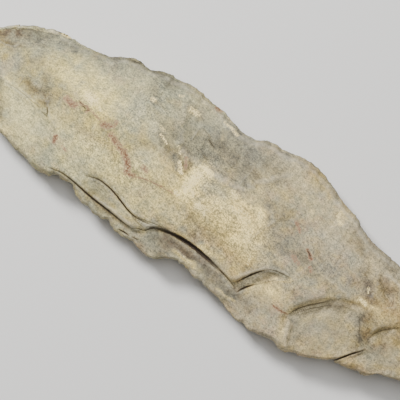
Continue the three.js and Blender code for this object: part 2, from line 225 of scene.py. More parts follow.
# The cracks and step edges: where a blow ran out in a hinge the flake tore off and left
# an undercut line, black with old soil and with the shadow in the undercut, which is painted
# in too. Each is a chain of points with half its width, its depth (both in millimetres) and
# how much soil and painted shadow it holds.
CRACKS = {
    "terrace_edge": ([(-33, -13.4), (-31.4, -12.9), (-29.6, -12.2), (-27, -12.25),
                      (-24, -12.75), (-21.5, -13.6), (-19, -14.4), (-16.8, -14.7),
                      (-14.5, -14.55), (-12, -13.9)], 0.17, 0.35, 1.0),
    "long_edge_left": ([(-41.5, -17.05), (-40, -16.6), (-38, -16.2), (-35.5, -16.15),
                        (-32, -16.6), (-28, -17.1), (-24, -17.2), (-20, -17.5),
                        (-17, -17.65), (-15.4, -17.45)], 0.2, 0.55, 1.0),
    "edge_bend": ([(-15.6, -17.5), (-14.4, -16.6), (-13, -16.3), (-12.3, -15.6),
                   (-11.9, -14.8), (-11, -14)], 0.1, 0.4, 0.8),
    "long_edge_right": ([(-12.2, -15.2), (-11.4, -14.2), (-9.5, -13.5), (-6.5, -12.8),
                         (-3, -12.45), (0.5, -12.45), (4, -12.8), (8, -13.4), (11, -14),
                         (13.3, -14.7), (14.8, -15.8)], 0.15, 0.9, 1.0),
    "long_edge_mouth": ([(-11.2, -14.05), (-9.5, -13.5), (-6.5, -12.8), (-3, -12.45),
                         (0.5, -12.5), (4, -12.9), (8.5, -13.6)], 0.55, 0.4, 1.0),
    "splinter": ([(-17.5, -15.1), (-15, -15.6), (-13, -15.7)], 0.07, 0.12, 0.55),
    "upper_splinter": ([(-16.4, -14.4), (-13.5, -13.8), (-10.5, -13), (-7.5, -12.5)],
                       0.07, 0.12, 0.6),
    "first_step_lip": ([(13.3, -13.6), (14, -12.1), (15, -10.2), (16.2, -8.3), (17.4, -6.8)],
                       0.17, 0.3, 0.95),
    "first_step_brow": ([(17.2, -6.9), (18.8, -5.8), (20.8, -5.3), (23.8, -5.0)],
                        0.09, 0.12, 0.65),
    "first_step_foot": ([(14.8, -15.8), (15.2, -14.6), (16, -13.2), (17.4, -11.3)],
                        0.2, 0.3, 1.0),
    "first_step_foot_end": ([(17, -11.8), (18.6, -10.2), (20.4, -7.9), (21.8, -6.5),
                             (23.6, -5.3)], 0.06, 0.05, 0.35),
    "second_step_lip": ([(28.3, -13), (29, -11), (30.2, -9), (32, -7), (33.6, -5.3),
                         (35, -3.9)], 0.17, 0.25, 0.75),
    "second_step_line": ([(28.9, -12.9), (30, -11), (31.6, -8.8), (33.4, -6.9),
                          (35.6, -4.8)], 0.11, 0.1, 0.65),
    "second_step_upper_line": ([(31.6, -8.4), (33, -6), (35.3, -3.5)], 0.1, 0.1, 0.55),
    "second_step_lower_line": ([(29.8, -12.6), (31, -10.8), (32.6, -8.8), (34.4, -6.9)],
                               0.09, 0.04, 0.45),
    "second_step_brow": ([(36.4, -2.9), (38, -1.8), (40, -0.9), (41.8, -0.7)],
                         0.07, 0.1, 0.35),
    "second_step_far_foot": ([(36, -4.6), (38.8, -3.1), (41.5, -2.4)], 0.07, 0.05, 0.3),
    "second_step_right": ([(42.8, -2.6), (44.3, -4.6), (45.8, -7), (47.2, -8.6)],
                          0.08, 0.1, 0.4),
    "third_step_line": ([(49.2, -8.8), (48, -10.5), (46.5, -12.6), (45, -15), (43.4, -17.3)],
                        0.21, 0.5, 1.0),
    "third_step_brow": ([(48.3, -8), (48.1, -5.6), (48.9, -3.4), (50.5, -1.7), (52.4, 0),
                         (54, 1.6)], 0.14, 0.1, 0.5),
    "wrinkle": ([(-15.6, 13), (-13.6, 12.6), (-11.6, 11.8)], 0.05, 0.1, 0.5),
    "wrinkle_end": ([(-13, 11.6), (-11.4, 11), (-10.2, 10.7)], 0.09, 0.12, 0.8),
    "lower_wrinkle": ([(-12, 7.7), (-10.4, 7.2)], 0.07, 0.08, 0.6),
    "margin_crack": ([(-18.6, -19.7), (-16.6, -19.4), (-15, -19.5)], 0.15, 0.25, 1.0),
    "margin_crack_end": ([(-14.7, -19.3), (-12.6, -19)], 0.1, 0.2, 0.8),
    "red_crack": ([(24, -13.2), (26, -13.05), (28, -12.8)], 0.06, 0.12, 0.35),
    "bit_crack": ([(-50.1, -4.8), (-49.2, -5.9), (-48.9, -6.6)], 0.14, 0.15, 0.8),
    "bit_crack_across": ([(-50.6, -6.6), (-49.4, -6.7), (-48.3, -6.9)], 0.09, 0.12, 0.6),
    "bit_line": ([(-62.6, -5.8), (-60, -5.45), (-56.5, -5.5), (-54, -5.9), (-51.4, -6)],
                 0.07, 0.1, 0.5),
    "rust_crack": ([(-44.7, 1), (-43.7, 0.7), (-43, 0.9)], 0.09, 0.1, 0.6),
    "rust_crack_middle": ([(-43.2, 0.2), (-42.5, 0.5), (-41.9, 0)], 0.11, 0.12, 0.85),
    "rust_crack_end": ([(-42, -0.5), (-41.4, 0.1), (-40.8, 0.8)], 0.09, 0.1, 0.6),
    "butt_crack": ([(22.8, 3.2), (24, 2.5), (24.8, 1.9)], 0.15, 0.15, 0.8),
    "lower_scratch": ([(-23, -6.8), (-20, -5.6), (-17, -5), (-12, -4.6)], 0.05, 0.05, 0.3),
    "thumb_edge": ([(-70, 2.4), (-68, 2.6), (-66.3, 3.4), (-65.4, 4.6)], 0.1, 0.1, 0.2),
    "butt_line": ([(41.6, 7.3), (43, 6.8), (45, 5.8)], 0.1, 0.1, 0.25),
}
CRACK_REACH = 2.4         # how far from a crack its distance is still worked out
CRACK_SOIL_AND_SHADOW_REACH = 0.9    # how far from it soil and painted shadow can lie
SOIL_AND_SHADOW_FADE = 0.3           # over which the soil and painted shadow thin out there
NARROWEST_CUT = 0.26      # the net can't hold a narrower groove than this
CORNER_CUTS = 2           # how often the corners of a chain are cut to round it
TAPER = 0.35              # the lower, the blunter a crack's ends
COMBED = ("terrace_edge", "long_edge_left", "long_edge_right", "first_step_lip",
          "first_step_brow", "first_step_foot", "second_step_lip", "second_step_brow",
          "third_step_line", "third_step_brow")
COMB_REACH = 1.6          # how far to each side of a step's edge its wall is evened out
COMB_LENGTH = 0.9         # over how long a stretch of it, to each way
COMB_TEETH = 7            # in how many places along that stretch the height is read


def rounded(points):
    """The chain of points with its corners cut."""
    chain = np.array(points, float)
    for _ in range(CORNER_CUTS):
        near, far = chain[:-1], chain[1:]
        cut = np.stack([near * 0.75 + far * 0.25, near * 0.25 + far * 0.75], axis=1)
        chain = np.vstack([chain[:1], cut.reshape(-1, 2), chain[-1:]])
    return chain


def reach(points, x, y, limit):
    """Distance of each place from the chain, its side of it, and its share along it."""
    chain = rounded(points)
    lengths = np.hypot(*np.diff(chain, axis=0).T)
    start = np.concatenate([[0], np.cumsum(lengths)])
    low, high = chain.min(0) - limit, chain.max(0) + limit
    near = (x > low[0]) & (x < high[0]) & (y > low[1]) & (y < high[1])
    px, py = x[near], y[near]
    best, side, along = np.full(px.shape, limit * 2), np.ones(px.shape), np.zeros(px.shape)
    for k, length in enumerate(lengths):
        (ax, ay), (bx, by) = chain[k], chain[k + 1]
        share = np.clip(((px - ax) * (bx - ax) + (py - ay) * (by - ay)) / length ** 2, 0, 1)
        far = np.hypot(px - ax - share * (bx - ax), py - ay - share * (by - ay))
        across = (bx - ax) * (py - ay) - (by - ay) * (px - ax)
        closer = far < best
        best[closer] = far[closer]
        side[closer] = np.where(across[closer] < 0, -1, 1)
        along[closer] = (start[k] + share[closer] * length) / start[-1]
    distance, sides, place = np.full(x.shape, limit * 2), np.ones(x.shape), np.zeros(x.shape)
    distance[near], sides[near], place[near] = best, side, along
    return distance, sides, place


def tapered(place):
    return np.sin(np.pi * np.clip(place, 0, 1)) ** TAPER


def face_height(x, y):
    """Heights of the face at any places, read between the corners of the net."""
    low = np.interp(x, face_x[:, 0], lower_margin[:, 1])
    high = np.interp(x, face_x[:, 0], upper_margin[:, 1])
    row = np.interp(x, face_x[:, 0], np.arange(ROWS + 1))
    column = np.interp((y - low) / np.maximum(high - low, TINY), face_shares,
                       np.arange(len(face_shares)))
    i = np.clip(row.astype(int), 0, ROWS - 1)
    j = np.clip(column.astype(int), 0, len(face_shares) - 2)
    row_share, column_share = row - i, column - j
    near = face_z[i, j] * (1 - column_share) + face_z[i, j + 1] * column_share
    far = face_z[i + 1, j] * (1 - column_share) + face_z[i + 1, j + 1] * column_share
    return near * (1 - row_share) + far * row_share


def comb(points):
    """Evens the heights out along a step's edge, so that its wall runs clean."""
    distance, _, place = reach(points, face_x, face_y, COMB_REACH)
    near = distance < COMB_REACH
    steps = np.diff(rounded(points), axis=0)
    lengths = np.hypot(*steps.T)
    middles = (np.cumsum(lengths) - lengths / 2) / lengths.sum()
    way_x, way_y = (np.interp(place[near], middles, steps[:, a] / lengths) for a in (0, 1))
    combed = np.mean([face_height(face_x[near] + along * way_x, face_y[near] + along * way_y)
                      for along in np.linspace(-COMB_LENGTH, COMB_LENGTH, COMB_TEETH)], axis=0)
    share = np.clip(2 - 2 * distance[near] / COMB_REACH, 0, 1)
    face_z[near] += (combed - face_z[near]) * share


for name in COMBED:
    comb(CRACKS[name][0])
clearance = np.full(face_z.shape, CRACK_REACH * 2)
crack_offset = clearance.copy()
crack_width = np.zeros(face_z.shape)
crack_soil_and_shadow = np.zeros(face_z.shape)
for points, width, depth, soil_and_shadow_share in CRACKS.values():
    distance, side, place = reach(points, face_x, face_y, CRACK_REACH)
    taper = tapered(place)
    face_z -= depth * taper * np.exp(-(distance / max(width, NARROWEST_CUT)) ** 2)
    nearer = distance - width * taper < clearance
    clearance[nearer] = (distance - width * taper)[nearer]
    crack_offset[nearer] = (distance * side)[nearer]
    crack_width[nearer] = (width * taper)[nearer]
    held = soil_and_shadow_share * taper * np.clip((CRACK_SOIL_AND_SHADOW_REACH - distance) / SOIL_AND_SHADOW_FADE, 0, 1)
    crack_soil_and_shadow[nearer] = held[nearer]


# The low relief of the face: places where a scar's side is worn down, then the ridges
# between old scars and the hollows that the blows left. Each is a soft stroke with its
# width, and then how far it is worn or how high it stands, in millimetres.
STROKE_REACH = 3             # a soft stroke has died out at this many widths
WORN = [
    ([(14.2, -16.4), (14.4, -20.8)], 1.6, 1),
    ([(42.5, -2.4), (45, -5.2), (47, -8.4)], 1.5, 1),
    ([(45.6, -1.6), (48, -6.8)], 1.5, 0.85),
    ([(28.6, -14.4), (29.4, -16)], 1.2, 1),
    ([(29.4, -13.4), (32, -8.4), (36.5, -4), (42, -2)], 2.7, 1),
    ([(48.8, -7.6), (49, -4.6), (50.6, -2.2), (53.4, 0.4)], 1.8, 0.9),
    ([(-15.4, -17), (-12.6, -15.6)], 1.0, 0.6),
    ([(13.8, -13.8), (15, -12)], 0.9, 0.4),
    ([(-70.5, 4.6), (-67, 3.6), (-65.6, 5.6)], 1.8, 0.8),
]
WORN_ROUNDS = 90
WORN_STEP = 0.24
RIDGES = {
    "strip_ridge": ([(-3.5, -15.5), (-1, -15.9), (2, -16.5)], 0.4, 0.35),
    "strip_end_ridge": ([(10, -17.9), (12.5, -18.1), (15, -18.5)], 0.4, 0.25),
    "strip_hollow": ([(7.5, -15.1), (11, -16), (14.5, -17.5)], 0.7, -0.25),
    "strip_near_hollow": ([(-9, -15.6), (-7, -16.5), (-4, -18)], 0.8, -0.25),
    "bit_ridge": ([(-68, -5.2), (-65, -5.45), (-57, -5.45), (-51.5, -5.95)], 1.1, 0.4),
    "bit_ridge_end": ([(-51, -3.4), (-49.5, -5.4), (-48.5, -6.4), (-45, -8)], 0.8, 0.35),
    "bit_hollow": ([(-59, -3.2), (-55, -3.4), (-51.5, -3)], 1.3, -0.45),
    "bit_crest": ([(-57, 4.2), (-48, 4.6), (-40, 3.4), (-33, 2)], 2.4, 0.4),
    "bit_upper_hollow": ([(-66, 8.6), (-58, 8.6), (-50, 9.4)], 1.8, -0.4),
    "edge_swell": ([(-50, -12), (-40, -12.5), (-34, -11.5)], 2.4, 0.35),
    "rust_valley": ([(-45, -0.4), (-36, -0.8), (-28, -3.2), (-24.5, -6.4)], 1.1, -0.3),
    "grey_ridge": ([(-34, 15), (-31, 9), (-30, 4)], 1.6, 0.3),
    "upper_scar_side": ([(-22.5, 16), (-20, 10.5), (-17.5, 6.5)], 1.3, 0.35),
    "upper_hollow": ([(-16, 10.5), (-8, 10), (0, 9.5)], 3.0, -0.65),
    "upper_foot": ([(-17, 5.6), (-8, 4.9), (0, 5.8), (4, 8)], 1.4, 0.4),
    "upper_ridge": ([(1.5, 7.5), (5, 11.5), (9, 16), (12, 20)], 1.4, 0.5),
    "grey_hollow": ([(12, 3), (18, 1), (25, -1)], 3.0, -0.45),
    "cream_swell": ([(-3, -1), (4, 0.5), (11, -1)], 2.6, 0.35),
    "olive_hollow": ([(-6, -7.5), (3, -8.7), (14, -9)], 2.2, -0.35),
    "butt_swell": ([(24, 10), (32, 8), (38, 4)], 2.6, 0.3),
    "butt_scar_side": ([(40, 9.5), (42.5, 5.5), (42.5, 2)], 1.1, 0.35),
    "butt_hollow": ([(43.5, 7.5), (46, 5.6), (48, 3.4)], 1.8, -0.3),
    "step_ridge": ([(28.2, -13), (30.3, -14.6), (31, -16.6), (32, -18.6), (33.2, -20.9)],
                   0.7, 0.45),
    "first_step_slope": ([(15.2, -10.4), (16.8, -8.4), (19, -6.8), (22, -5.7)], 0.7, -0.5),
    "first_step_rim": ([(18.6, -9.8), (20.2, -8), (22.2, -6.4), (24.5, -5.4)], 0.4, 0.25),
    "first_floor_ridge": ([(19, -15.5), (23, -14.2), (28, -13.4)], 1.0, 0.25),
    "right_wall_band": ([(44.3, -3), (46.5, -6), (48.6, -9)], 0.7, 0.12),
    "upper_chip": ([(24, 15), (25.5, 14.4), (27, 13.8)], 1.2, -0.4),
}
SWELLS = (0.16, 6.5, 1.0, 2.0)   # height and length of the noise, fall and step of its octaves
GRAINS = (0.05, 1.5, 0.9, 2.1)
OCTAVES = 2
PITTING = 0.03
PITTING_LENGTH = 0.55
ROUGH_FROM = 0.8             # this far in from the margins it is fully rough
FACE_SEED = 3
BACK_SEED = 40
FLAT_BELOW = 0.25            # lower than this the back stays smooth


def soft_stroke(points, width, x, y):
    """How near each place is to the chain, from nought to one, and its share along it."""
    distance, _, place = reach(points, x, y, width * STROKE_REACH)
    return np.exp(-(distance / width) ** 2), place


def spread(z, step):
    """Evens the heights out a little, first along the stone and then across it."""
    z[1:-1] += step * (z[2:] - 2 * z[1:-1] + z[:-2])
    z[:, 1:-1] += step * (z[:, 2:] - 2 * z[:, 1:-1] + z[:, :-2])


def rough(place, height, length, fall, step):
    return height * noise.fractal(place / length, fall, step, OCTAVES)


def roughen(x, y, z, fade, seed):
    for i in range(x.shape[0]):
        for j in range(x.shape[1]):
            place = Vector((x[i, j], y[i, j], seed))
            pits = PITTING * noise.noise(place / PITTING_LENGTH)
            z[i, j] += (rough(place, *SWELLS) + rough(place, *GRAINS) + pits) * fade[i, j]


def margin_fade(x, y, width):
    """Nought on the margins, and one from the width inwards."""
    near = np.minimum(y - lower_margin[:, 1:2], upper_margin[:, 1:2] - y)
    return np.clip(near / width, 0, 1)


worn_z = face_z.copy()
for _ in range(WORN_ROUNDS):
    spread(worn_z, WORN_STEP)
for points, width, wear in WORN:
    near, _ = soft_stroke(points, width, face_x, face_y)
    face_z += (worn_z - face_z) * wear * near
for points, width, height in RIDGES.values():
    near, place = soft_stroke(points, width, face_x, face_y)
    face_z += height * tapered(place) * near
roughen(face_x, face_y, face_z, margin_fade(face_x, face_y, ROUGH_FROM), FACE_SEED)
back_fade = margin_fade(back_x, back_y, ROUGH_FROM) * (back_z > FLAT_BELOW)
roughen(back_x, back_y, back_z, back_fade, BACK_SEED)
back_z = np.maximum(back_z, 0)
for net_z, net_shares in ((face_z, face_shares), (back_z, back_shares)):
    margin_line = lower_margin[:, 2:3] * (1 - net_shares) + upper_margin[:, 2:3] * net_shares
    net_z[:, 0], net_z[:, -1] = lower_margin[:, 2], upper_margin[:, 2]
    net_z[0], net_z[-1] = margin_line[0], margin_line[-1]


# The body of the stone: the net of the face and that of the back, each bent from a flat
# grid, with its corners shared along both margins and closed at the two tips. It is one
# whole knapped flint, with nothing joined to it.
SEAM_GAP = 1e-6              # corners of the two nets closer than this, in metres, are one


def grid_side(shape, x, y, z, flip):
    columns = x.shape[1] - 1
    made = bmesh.ops.create_grid(shape, x_segments=ROWS, y_segments=columns, size=1)
    for v in made["verts"]:
        i = round((v.co.x + 1) / 2 * ROWS)
        j = round((v.co.y + 1) / 2 * columns)
        v.co = (x[i, j] * MM, y[i, j] * MM, z[i, j] * MM)
    if flip:
        faces = {face for v in made["verts"] for face in v.link_faces}
        bmesh.ops.reverse_faces(shape, faces=list(faces))


shape = bmesh.new()
grid_side(shape, face_x, face_y, face_z, False)
grid_side(shape, back_x, back_y, back_z, True)
bmesh.ops.remove_doubles(shape, verts=shape.verts, dist=SEAM_GAP)
bmesh.ops.dissolve_degenerate(shape, edges=shape.edges, dist=MERGE_GAP)
mesh = bpy.data.meshes.new("flaked_stone")
shape.to_mesh(mesh)
shape.free()
mesh.polygons.foreach_set("use_smooth", [True] * len(mesh.polygons))
stone = bpy.data.objects.new("flaked_stone", mesh)
bpy.context.scene.collection.objects.link(stone)


# The colours in the stone: broad clouds in the flint, rust that seeped along old cracks,
# and chalky bruises where it was knocked, with painted shade where facets and margins turn
# from the light and painted light on the shaded step walls. Each list holds soft strokes:
# a chain of points with its width, both in millimetres, and its strength. Their edges waver
# with the grain.
def srgb(red, green, blue):
    return tuple((v / 255 / 12.92) if v < 11 else ((v / 255 + 0.055) / 1.055) ** 2.4
                 for v in (red, green, blue)) + (1,)


RUST_COLOUR = srgb(116, 82, 59)
RUST = [
    ([(-47.3, -0.4), (-46, -0.9), (-44.7, -0.6)], 0.9, 0.75),
    ([(-44, 0.6), (-42.6, 0.9), (-41.4, 0.6), (-41.3, -0.3)], 0.45, 0.65),
    ([(-41, 0.8), (-38.5, 0.2), (-36, -0.2)], 0.35, 0.5),
    ([(-36.3, -0.4), (-34.8, -0.1)], 0.9, 0.7),
    ([(-34.6, 0), (-33.6, 1), (-33.8, 2)], 0.5, 0.7),
    ([(-33, -1.6), (-30.5, -2.4), (-28.5, -3.2), (-27.3, -3.4)], 0.8, 0.75),
    ([(-28, -2.4), (-27.4, -3.2)], 0.5, 0.8),
    ([(-27.2, -3.6), (-26.3, -4.3), (-25.2, -5.4), (-24.5, -6.9)], 0.8, 0.95),
    ([(-24.8, -6.2), (-23.6, -6.9), (-22.8, -6.4)], 0.6, 0.8),
    ([(-23, -6.8), (-20, -5.6), (-17, -4.9), (-12, -4.5)], 0.3, 0.45),
    ([(-22, -3.4), (-20.8, -3.8)], 0.9, 0.5),
    ([(-44.2, -9.4), (-43.7, -10.9)], 0.6, 0.95),
    ([(-41.6, -10.7), (-39.8, -11.1)], 0.35, 0.5),
    ([(-15.6, 19.2), (-14.4, 19.2)], 0.6, 0.7),
    ([(-14.6, 4.6), (-13.2, 2.4)], 0.5, 0.6),
    ([(16.8, 7.2), (19, 5.6)], 0.5, 0.65),
    ([(23, 3.1), (24, 2.5), (25, 1.7)], 0.45, 0.95),
    ([(26, -0.2), (26.7, -0.8)], 0.55, 0.75),
    ([(21, -0.2), (23, -1)], 0.9, 0.4),
    ([(24.2, -13.2), (26.4, -13.1), (28, -12.8)], 0.35, 0.8),
]
CHALK_COLOUR = srgb(254, 231, 166)
CHALK = [
    ([(-43, 3.3), (-41.4, 2.9)], 1.3, 0.95),
    ([(-41, -15.6), (-39.4, -16.2)], 0.9, 0.5),
    ([(-39.4, 2), (-38.6, 2.1)], 0.9, 0.4),
    ([(-29.8, 11.6), (-29.2, 11.9)], 0.55, 0.9),
    ([(-24.8, 16.4), (-24.2, 16.7)], 0.5, 0.7),
    ([(-20.6, 15.2), (-18.5, 15.1)], 0.7, 0.95),
    ([(-23, 5.6), (-20.5, 4.7)], 0.28, 0.9),
    ([(-24, 7.4), (-22.8, 7)], 0.5, 0.5),
    ([(-15.3, 2.7), (-14.4, 1.6), (-13.4, 0.7)], 0.55, 0.95),
    ([(-9, 5.1), (-7.2, 4.7)], 0.9, 0.9),
    ([(-10.6, 3.4), (-9.2, 3.2)], 0.6, 0.8),
    ([(-17.6, 5.8), (-16.4, 4.6)], 0.6, 0.4),
    ([(-12, 17.4), (-9.6, 17.2), (-7.4, 16.6)], 0.4, 0.75),
    ([(-9.3, 2.4), (-10.2, 0.8), (-10.2, -1.2)], 1.2, 0.85),
    ([(-10.8, -1.8), (-10, -2.2)], 0.6, 0.9),
    ([(-8.6, -1.2), (-7.8, -2.4)], 0.5, 0.7),
    ([(-5.8, -3.2), (-4.8, -3.6)], 0.8, 1.1),
    ([(-4, -3), (-2.6, -2.9)], 0.5, 0.85),
    ([(-3.4, -4), (-2.8, -4.3)], 0.5, 0.8),
    ([(-12, -3.8), (-10.8, -4.3)], 0.5, 0.9),
    ([(-0.4, 4.4), (0.4, 3), (1.2, 3.8)], 0.7, 0.75),
    ([(8.2, 4), (8.8, 3)], 0.8, 0.65),
    ([(2, 1.5), (7, 0.5), (9.4, -4)], 2.4, 0.4),
    ([(-58, 12.5), (-55.6, 12.8)], 0.5, 0.8),
    ([(24.6, 15.4), (24.4, 14.2), (26.4, 13.1)], 0.5, 0.85),
    ([(40.7, 4), (41.3, 3)], 0.4, 0.75),
    ([(40.6, 0.6), (42.4, 0.4)], 0.6, 0.95),
    ([(12, -6.5), (13, -8)], 0.6, 0.5),
    ([(-3.4, -15.6), (-1, -15.9), (1.8, -16.4)], 0.3, 0.6),
]
OCHRE_COLOUR = srgb(148, 124, 82)
OCHRE = [
    ([(-6, -7.2), (3, -8.2), (14, -8.8)], 1.9, 0.5),
    ([(-48, -4.5), (-40, -5.5), (-33, -4.5)], 2.3, 0.45),
    ([(43, 1.5), (47, 2.5), (53, 3)], 2.4, 0.75),
    ([(-66, -13.5), (-58, -15), (-52, -15)], 1.5, 0.55),
    ([(36.5, -3.3), (39.5, -1.8), (43, -1.6)], 0.9, 0.85),
    ([(4, 2), (9, 0.6)], 1.5, 0.5),
    ([(28.6, -13), (31, -16.5), (33, -20)], 0.9, 0.6),
    ([(49, -15), (56, -12.5)], 1.5, 0.5),
    ([(-17.5, -0.5), (-15, -2)], 2.2, 0.5),
    ([(-40, -17), (-20, -18.2)], 0.8, 0.4),
]
SLATE_COLOUR = srgb(124, 121, 103)
SLATE = [
    ([(-19, 9.6), (-12, 10.5), (-2, 10.5), (2, 11)], 5.0, 0.82),
    ([(-14, 13.6), (-4, 15), (6, 14.5)], 3.4, 0.8),
    ([(13, 2.5), (19, 2), (26, 0.2)], 3.0, 0.65),
    ([(-66, 9), (-52, 9.2)], 1.7, 0.75),
    ([(-36, 8), (-26, 9), (-22, 6)], 3.4, 0.5),
    ([(52.5, -8), (57, -8.7)], 1.6, 0.6),
    ([(-16, -15.8), (-11, -17)], 1.6, 0.5),
    ([(-9, -15.2), (0, -15), (8, -15.8), (13, -17)], 1.3, 0.9),
    ([(15.6, -11), (17.5, -8.6), (20, -6.6)], 0.9, 0.95),
    ([(34, -10), (42, -9)], 2.6, 0.4),
    ([(43.8, -3.4), (46.6, -7.4)], 1.0, 0.75),
]
CREAM_COLOUR = srgb(236, 212, 138)
CREAM_AND_LIGHT = [
    ([(-3, -2), (5, -0.4), (11, -2)], 2.8, 0.95),
    ([(-9.2, 4.4), (-10.3, 1), (-10, -3)], 2.0, 1.4),
    ([(0, -11.7), (5, -12)], 0.7, 0.8),
    # Painted light: this stroke lifts the shade on the second step's wall.
    ([(27.8, -12.4), (29, -9.6), (32, -6), (34.6, -3)], 0.7, 0.5),
    ([(49.4, -5.4), (50.6, -2.8)], 0.7, 0.9),
    ([(18.5, -10.8), (23.5, -10)], 2.4, 0.75),
    ([(-56, 4.4), (-47, 4.6), (-38, 3)], 2.3, 0.65),
    ([(-60, -8.6), (-52, -10)], 3.2, 0.8),
    ([(-57, -15), (-50, -14.6)], 2.0, 0.5),
    ([(-47.5, -5.6), (-40, -8.4)], 2.6, 0.55),
    ([(-47, 8.2), (-38, 7.8)], 2.4, 0.45),
    ([(2.4, 3.2), (8, 2)], 2.0, 0.5),
    ([(8, -5), (12, -7)], 2.0, 0.7),
    ([(52, -3), (54.6, -8)], 1.4, 0.4),
    ([(-37, -8), (-26, -8.8), (-15, -8.4)], 2.6, 0.55),
    ([(-24, 0.6), (-16, -2.4)], 2.2, 0.5),
    ([(-23, 12.5), (-19, 16)], 2.2, 0.2),
    ([(3, 12.5), (8, 15.5), (14, 16)], 2.8, 0.25),
    ([(42.5, 1), (46, 0.4)], 1.1, 0.75),
    ([(-3.6, -15.6), (-1, -15.8), (2, -16.4)], 0.42, 1.3),
    ([(10.5, -18), (15, -18.4)], 0.35, 0.7),
    ([(-62.5, -5.5), (-56, -5.2), (-51.6, -5.7)], 0.35, 0.6),
    ([(19, -9.4), (21.2, -7), (23.6, -5.5)], 0.32, 0.8),
    ([(30, 12), (37, 10)], 2.4, 0.35),
    ([(2.6, 9.2), (4.4, 9.4)], 1.2, 0.7),
    ([(5, 5.6), (8, 0)], 1.6, 0.5),
    ([(-23.6, -3), (-21.4, -3.8)], 1.2, 0.6),
    ([(-19, -11.6), (-14.6, -12)], 1.6, 0.5),
    ([(-16, -16.6), (-13, -17)], 0.8, 0.6),
    ([(28.6, -14), (30, -17)], 1.0, 0.5),
    ([(16, 14), (19, 12)], 1.6, 0.35),
    ([(29.6, -14.6), (31.6, -17), (33.2, -20)], 1.0, 0.35),
    ([(-52.4, 9), (-50.6, 9.2)], 1.2, 0.6),
    ([(-19, -14), (-16, -11.8)], 1.4, 0.6),
    ([(7, -5.4), (9.4, -3), (7.8, 3.6)], 2.2, 1.2),
    ([(-14, -2.6), (-8, -1.4)], 2.0, 0.6),
    ([(-40, -13), (-35, -14)], 1.8, 0.6),
    ([(-11, -8.6), (-4, -9)], 1.4, 0.5),
    ([(-47, 6), (-36, 6.6)], 2.8, 0.5),
    # Painted light: this stroke lifts the shade on the second step's wall.
    ([(32.6, -11), (35.4, -7)], 1.3, 0.8),
]
PALE_COLOUR = srgb(206, 194, 154)     # a quieter cream on edges, and painted light that lifts the shade on the step walls
PALE_AND_PAINTED_LIGHT = [
    ([(-62, -5.8), (-55, -5.6)], 0.6, 0.8),
    ([(-31, 11), (-29.6, 6)], 1.4, 0.5),
    ([(-38, -6.4), (-35, -6)], 1.6, 0.5),
    ([(-27, -4.6), (-25.2, -6)], 1.0, 0.5),
    ([(-53, -14.6), (-43, -14.4)], 2.2, 0.45),
    ([(-26.4, 6.4), (-24.4, 6)], 1.1, 0.9),
    ([(-58, -9.4), (-50, -11)], 3.0, 0.5),
    ([(29.6, -14.6), (31.6, -17), (33.2, -20)], 0.9, 0.8),
    ([(19.6, -20), (21, -20.4)], 1.2, 0.8),
    ([(30, -11.6), (32.2, -8.4), (35, -5.6), (37.4, -3.8)], 1.3, 1.1),
    ([(49, -6), (49.6, -3.8), (52, -1.4)], 1.0, 0.7),
    ([(31.6, -10), (34.4, -7), (36, -5.4)], 1.6, 1.2),
    ([(37.6, -3), (41.6, -1.6)], 1.0, 0.6),
    ([(14.6, -13.6), (15.8, -11.4), (17.4, -9.4)], 0.8, 1.1),
    ([(23.8, 15.6), (25.6, 14.4)], 1.8, 0.5),
]
UMBER_COLOUR = srgb(120, 101, 77)
# Brown umber in the flint; the first stroke, at the bit's corner, and those under the long edge
# also darken it as painted shade.
UMBER_AND_SHADE = [
    ([(-70.5, 4), (-67.4, 5.8), (-65.6, 8)], 2.0, 1.0),
    ([(-59.4, -3.4), (-54, -3.4)], 1.2, 0.45),
    ([(-54.4, -3), (-50.8, -3)], 1.0, 0.7),
    ([(43, 7.8), (46, 7), (47.6, 4.6)], 1.7, 0.65),
    ([(50.8, -2.6), (52.6, -5.6)], 1.9, 0.75),
    ([(45.5, -3.2), (48.4, -6.6)], 1.2, 0.45),
    ([(40.2, 5.2), (42.8, 2.6)], 1.5, 0.45),
    ([(-15.6, 6.4), (-13.4, 3)], 1.2, 0.5),
    ([(-7.6, -15), (-4, -14.3), (4, -14.4)], 1.2, 0.8),
    ([(5, -14.8), (12, -15.8)], 1.2, 0.4),
    ([(-36.4, -0.4), (-33.4, 0.6)], 1.2, 0.4),
    ([(-48, -1), (-44.5, -0.9)], 1.3, 0.4),
]
DIRT_AND_SHADE_COLOUR = srgb(82, 76, 64)       # old dirt along the feet of scars, and painted shade along the upper margin, under the long edge and at the top of the first step's wall
DIRT_AND_SHADE = [
    ([(-14.2, 10.8), (-9, 11.6)], 0.4, 0.35),
    ([(-6, -14.6), (0, -14.2), (6, -14.8)], 1.2, 0.25),
    ([(-13, 8.6), (-6, 9)], 1.6, 0.35),
    ([(-16.5, 6.4), (-6, 5.9), (0.6, 7.4)], 0.8, 0.5),
    ([(1, 7.6), (4, 9.4)], 0.9, 0.6),
    ([(-51.4, -3.2), (-50, -5)], 0.5, 0.6),
    ([(-66, 2.4), (-64, 4.6)], 0.9, 0.4),
    ([(42, 7), (45.4, 5.6)], 0.8, 0.3),
    ([(40.6, 5), (42.4, 2.8)], 1.2, 0.2),
    ([(17.5, -4.6), (22, -4)], 0.8, 0.35),
    ([(-32, 12), (-30.8, 6)], 1.2, 0.35),
    ([(-45.6, 14.2), (-41, 16.6), (-36, 17.4)], 0.9, 0.75),
    ([(15.8, -9.2), (18, -6.8)], 0.5, 0.6),
    ([(-36, 17.6), (-30, 18.6), (-22, 19.4), (-13, 18.8)], 0.9, 0.4),
    ([(-2, 18.8), (6, 20), (14, 20.8)], 0.8, 0.4),
    ([(-4, 8.6), (0, 9)], 1.6, 0.3),
    ([(47.6, -3.6), (48.4, -7.4)], 0.5, 0.5),
    ([(-53.5, 10.6), (-52.6, 10.4)], 0.5, 0.4),
]
YELLOW_COLOUR = srgb(190, 165, 92)
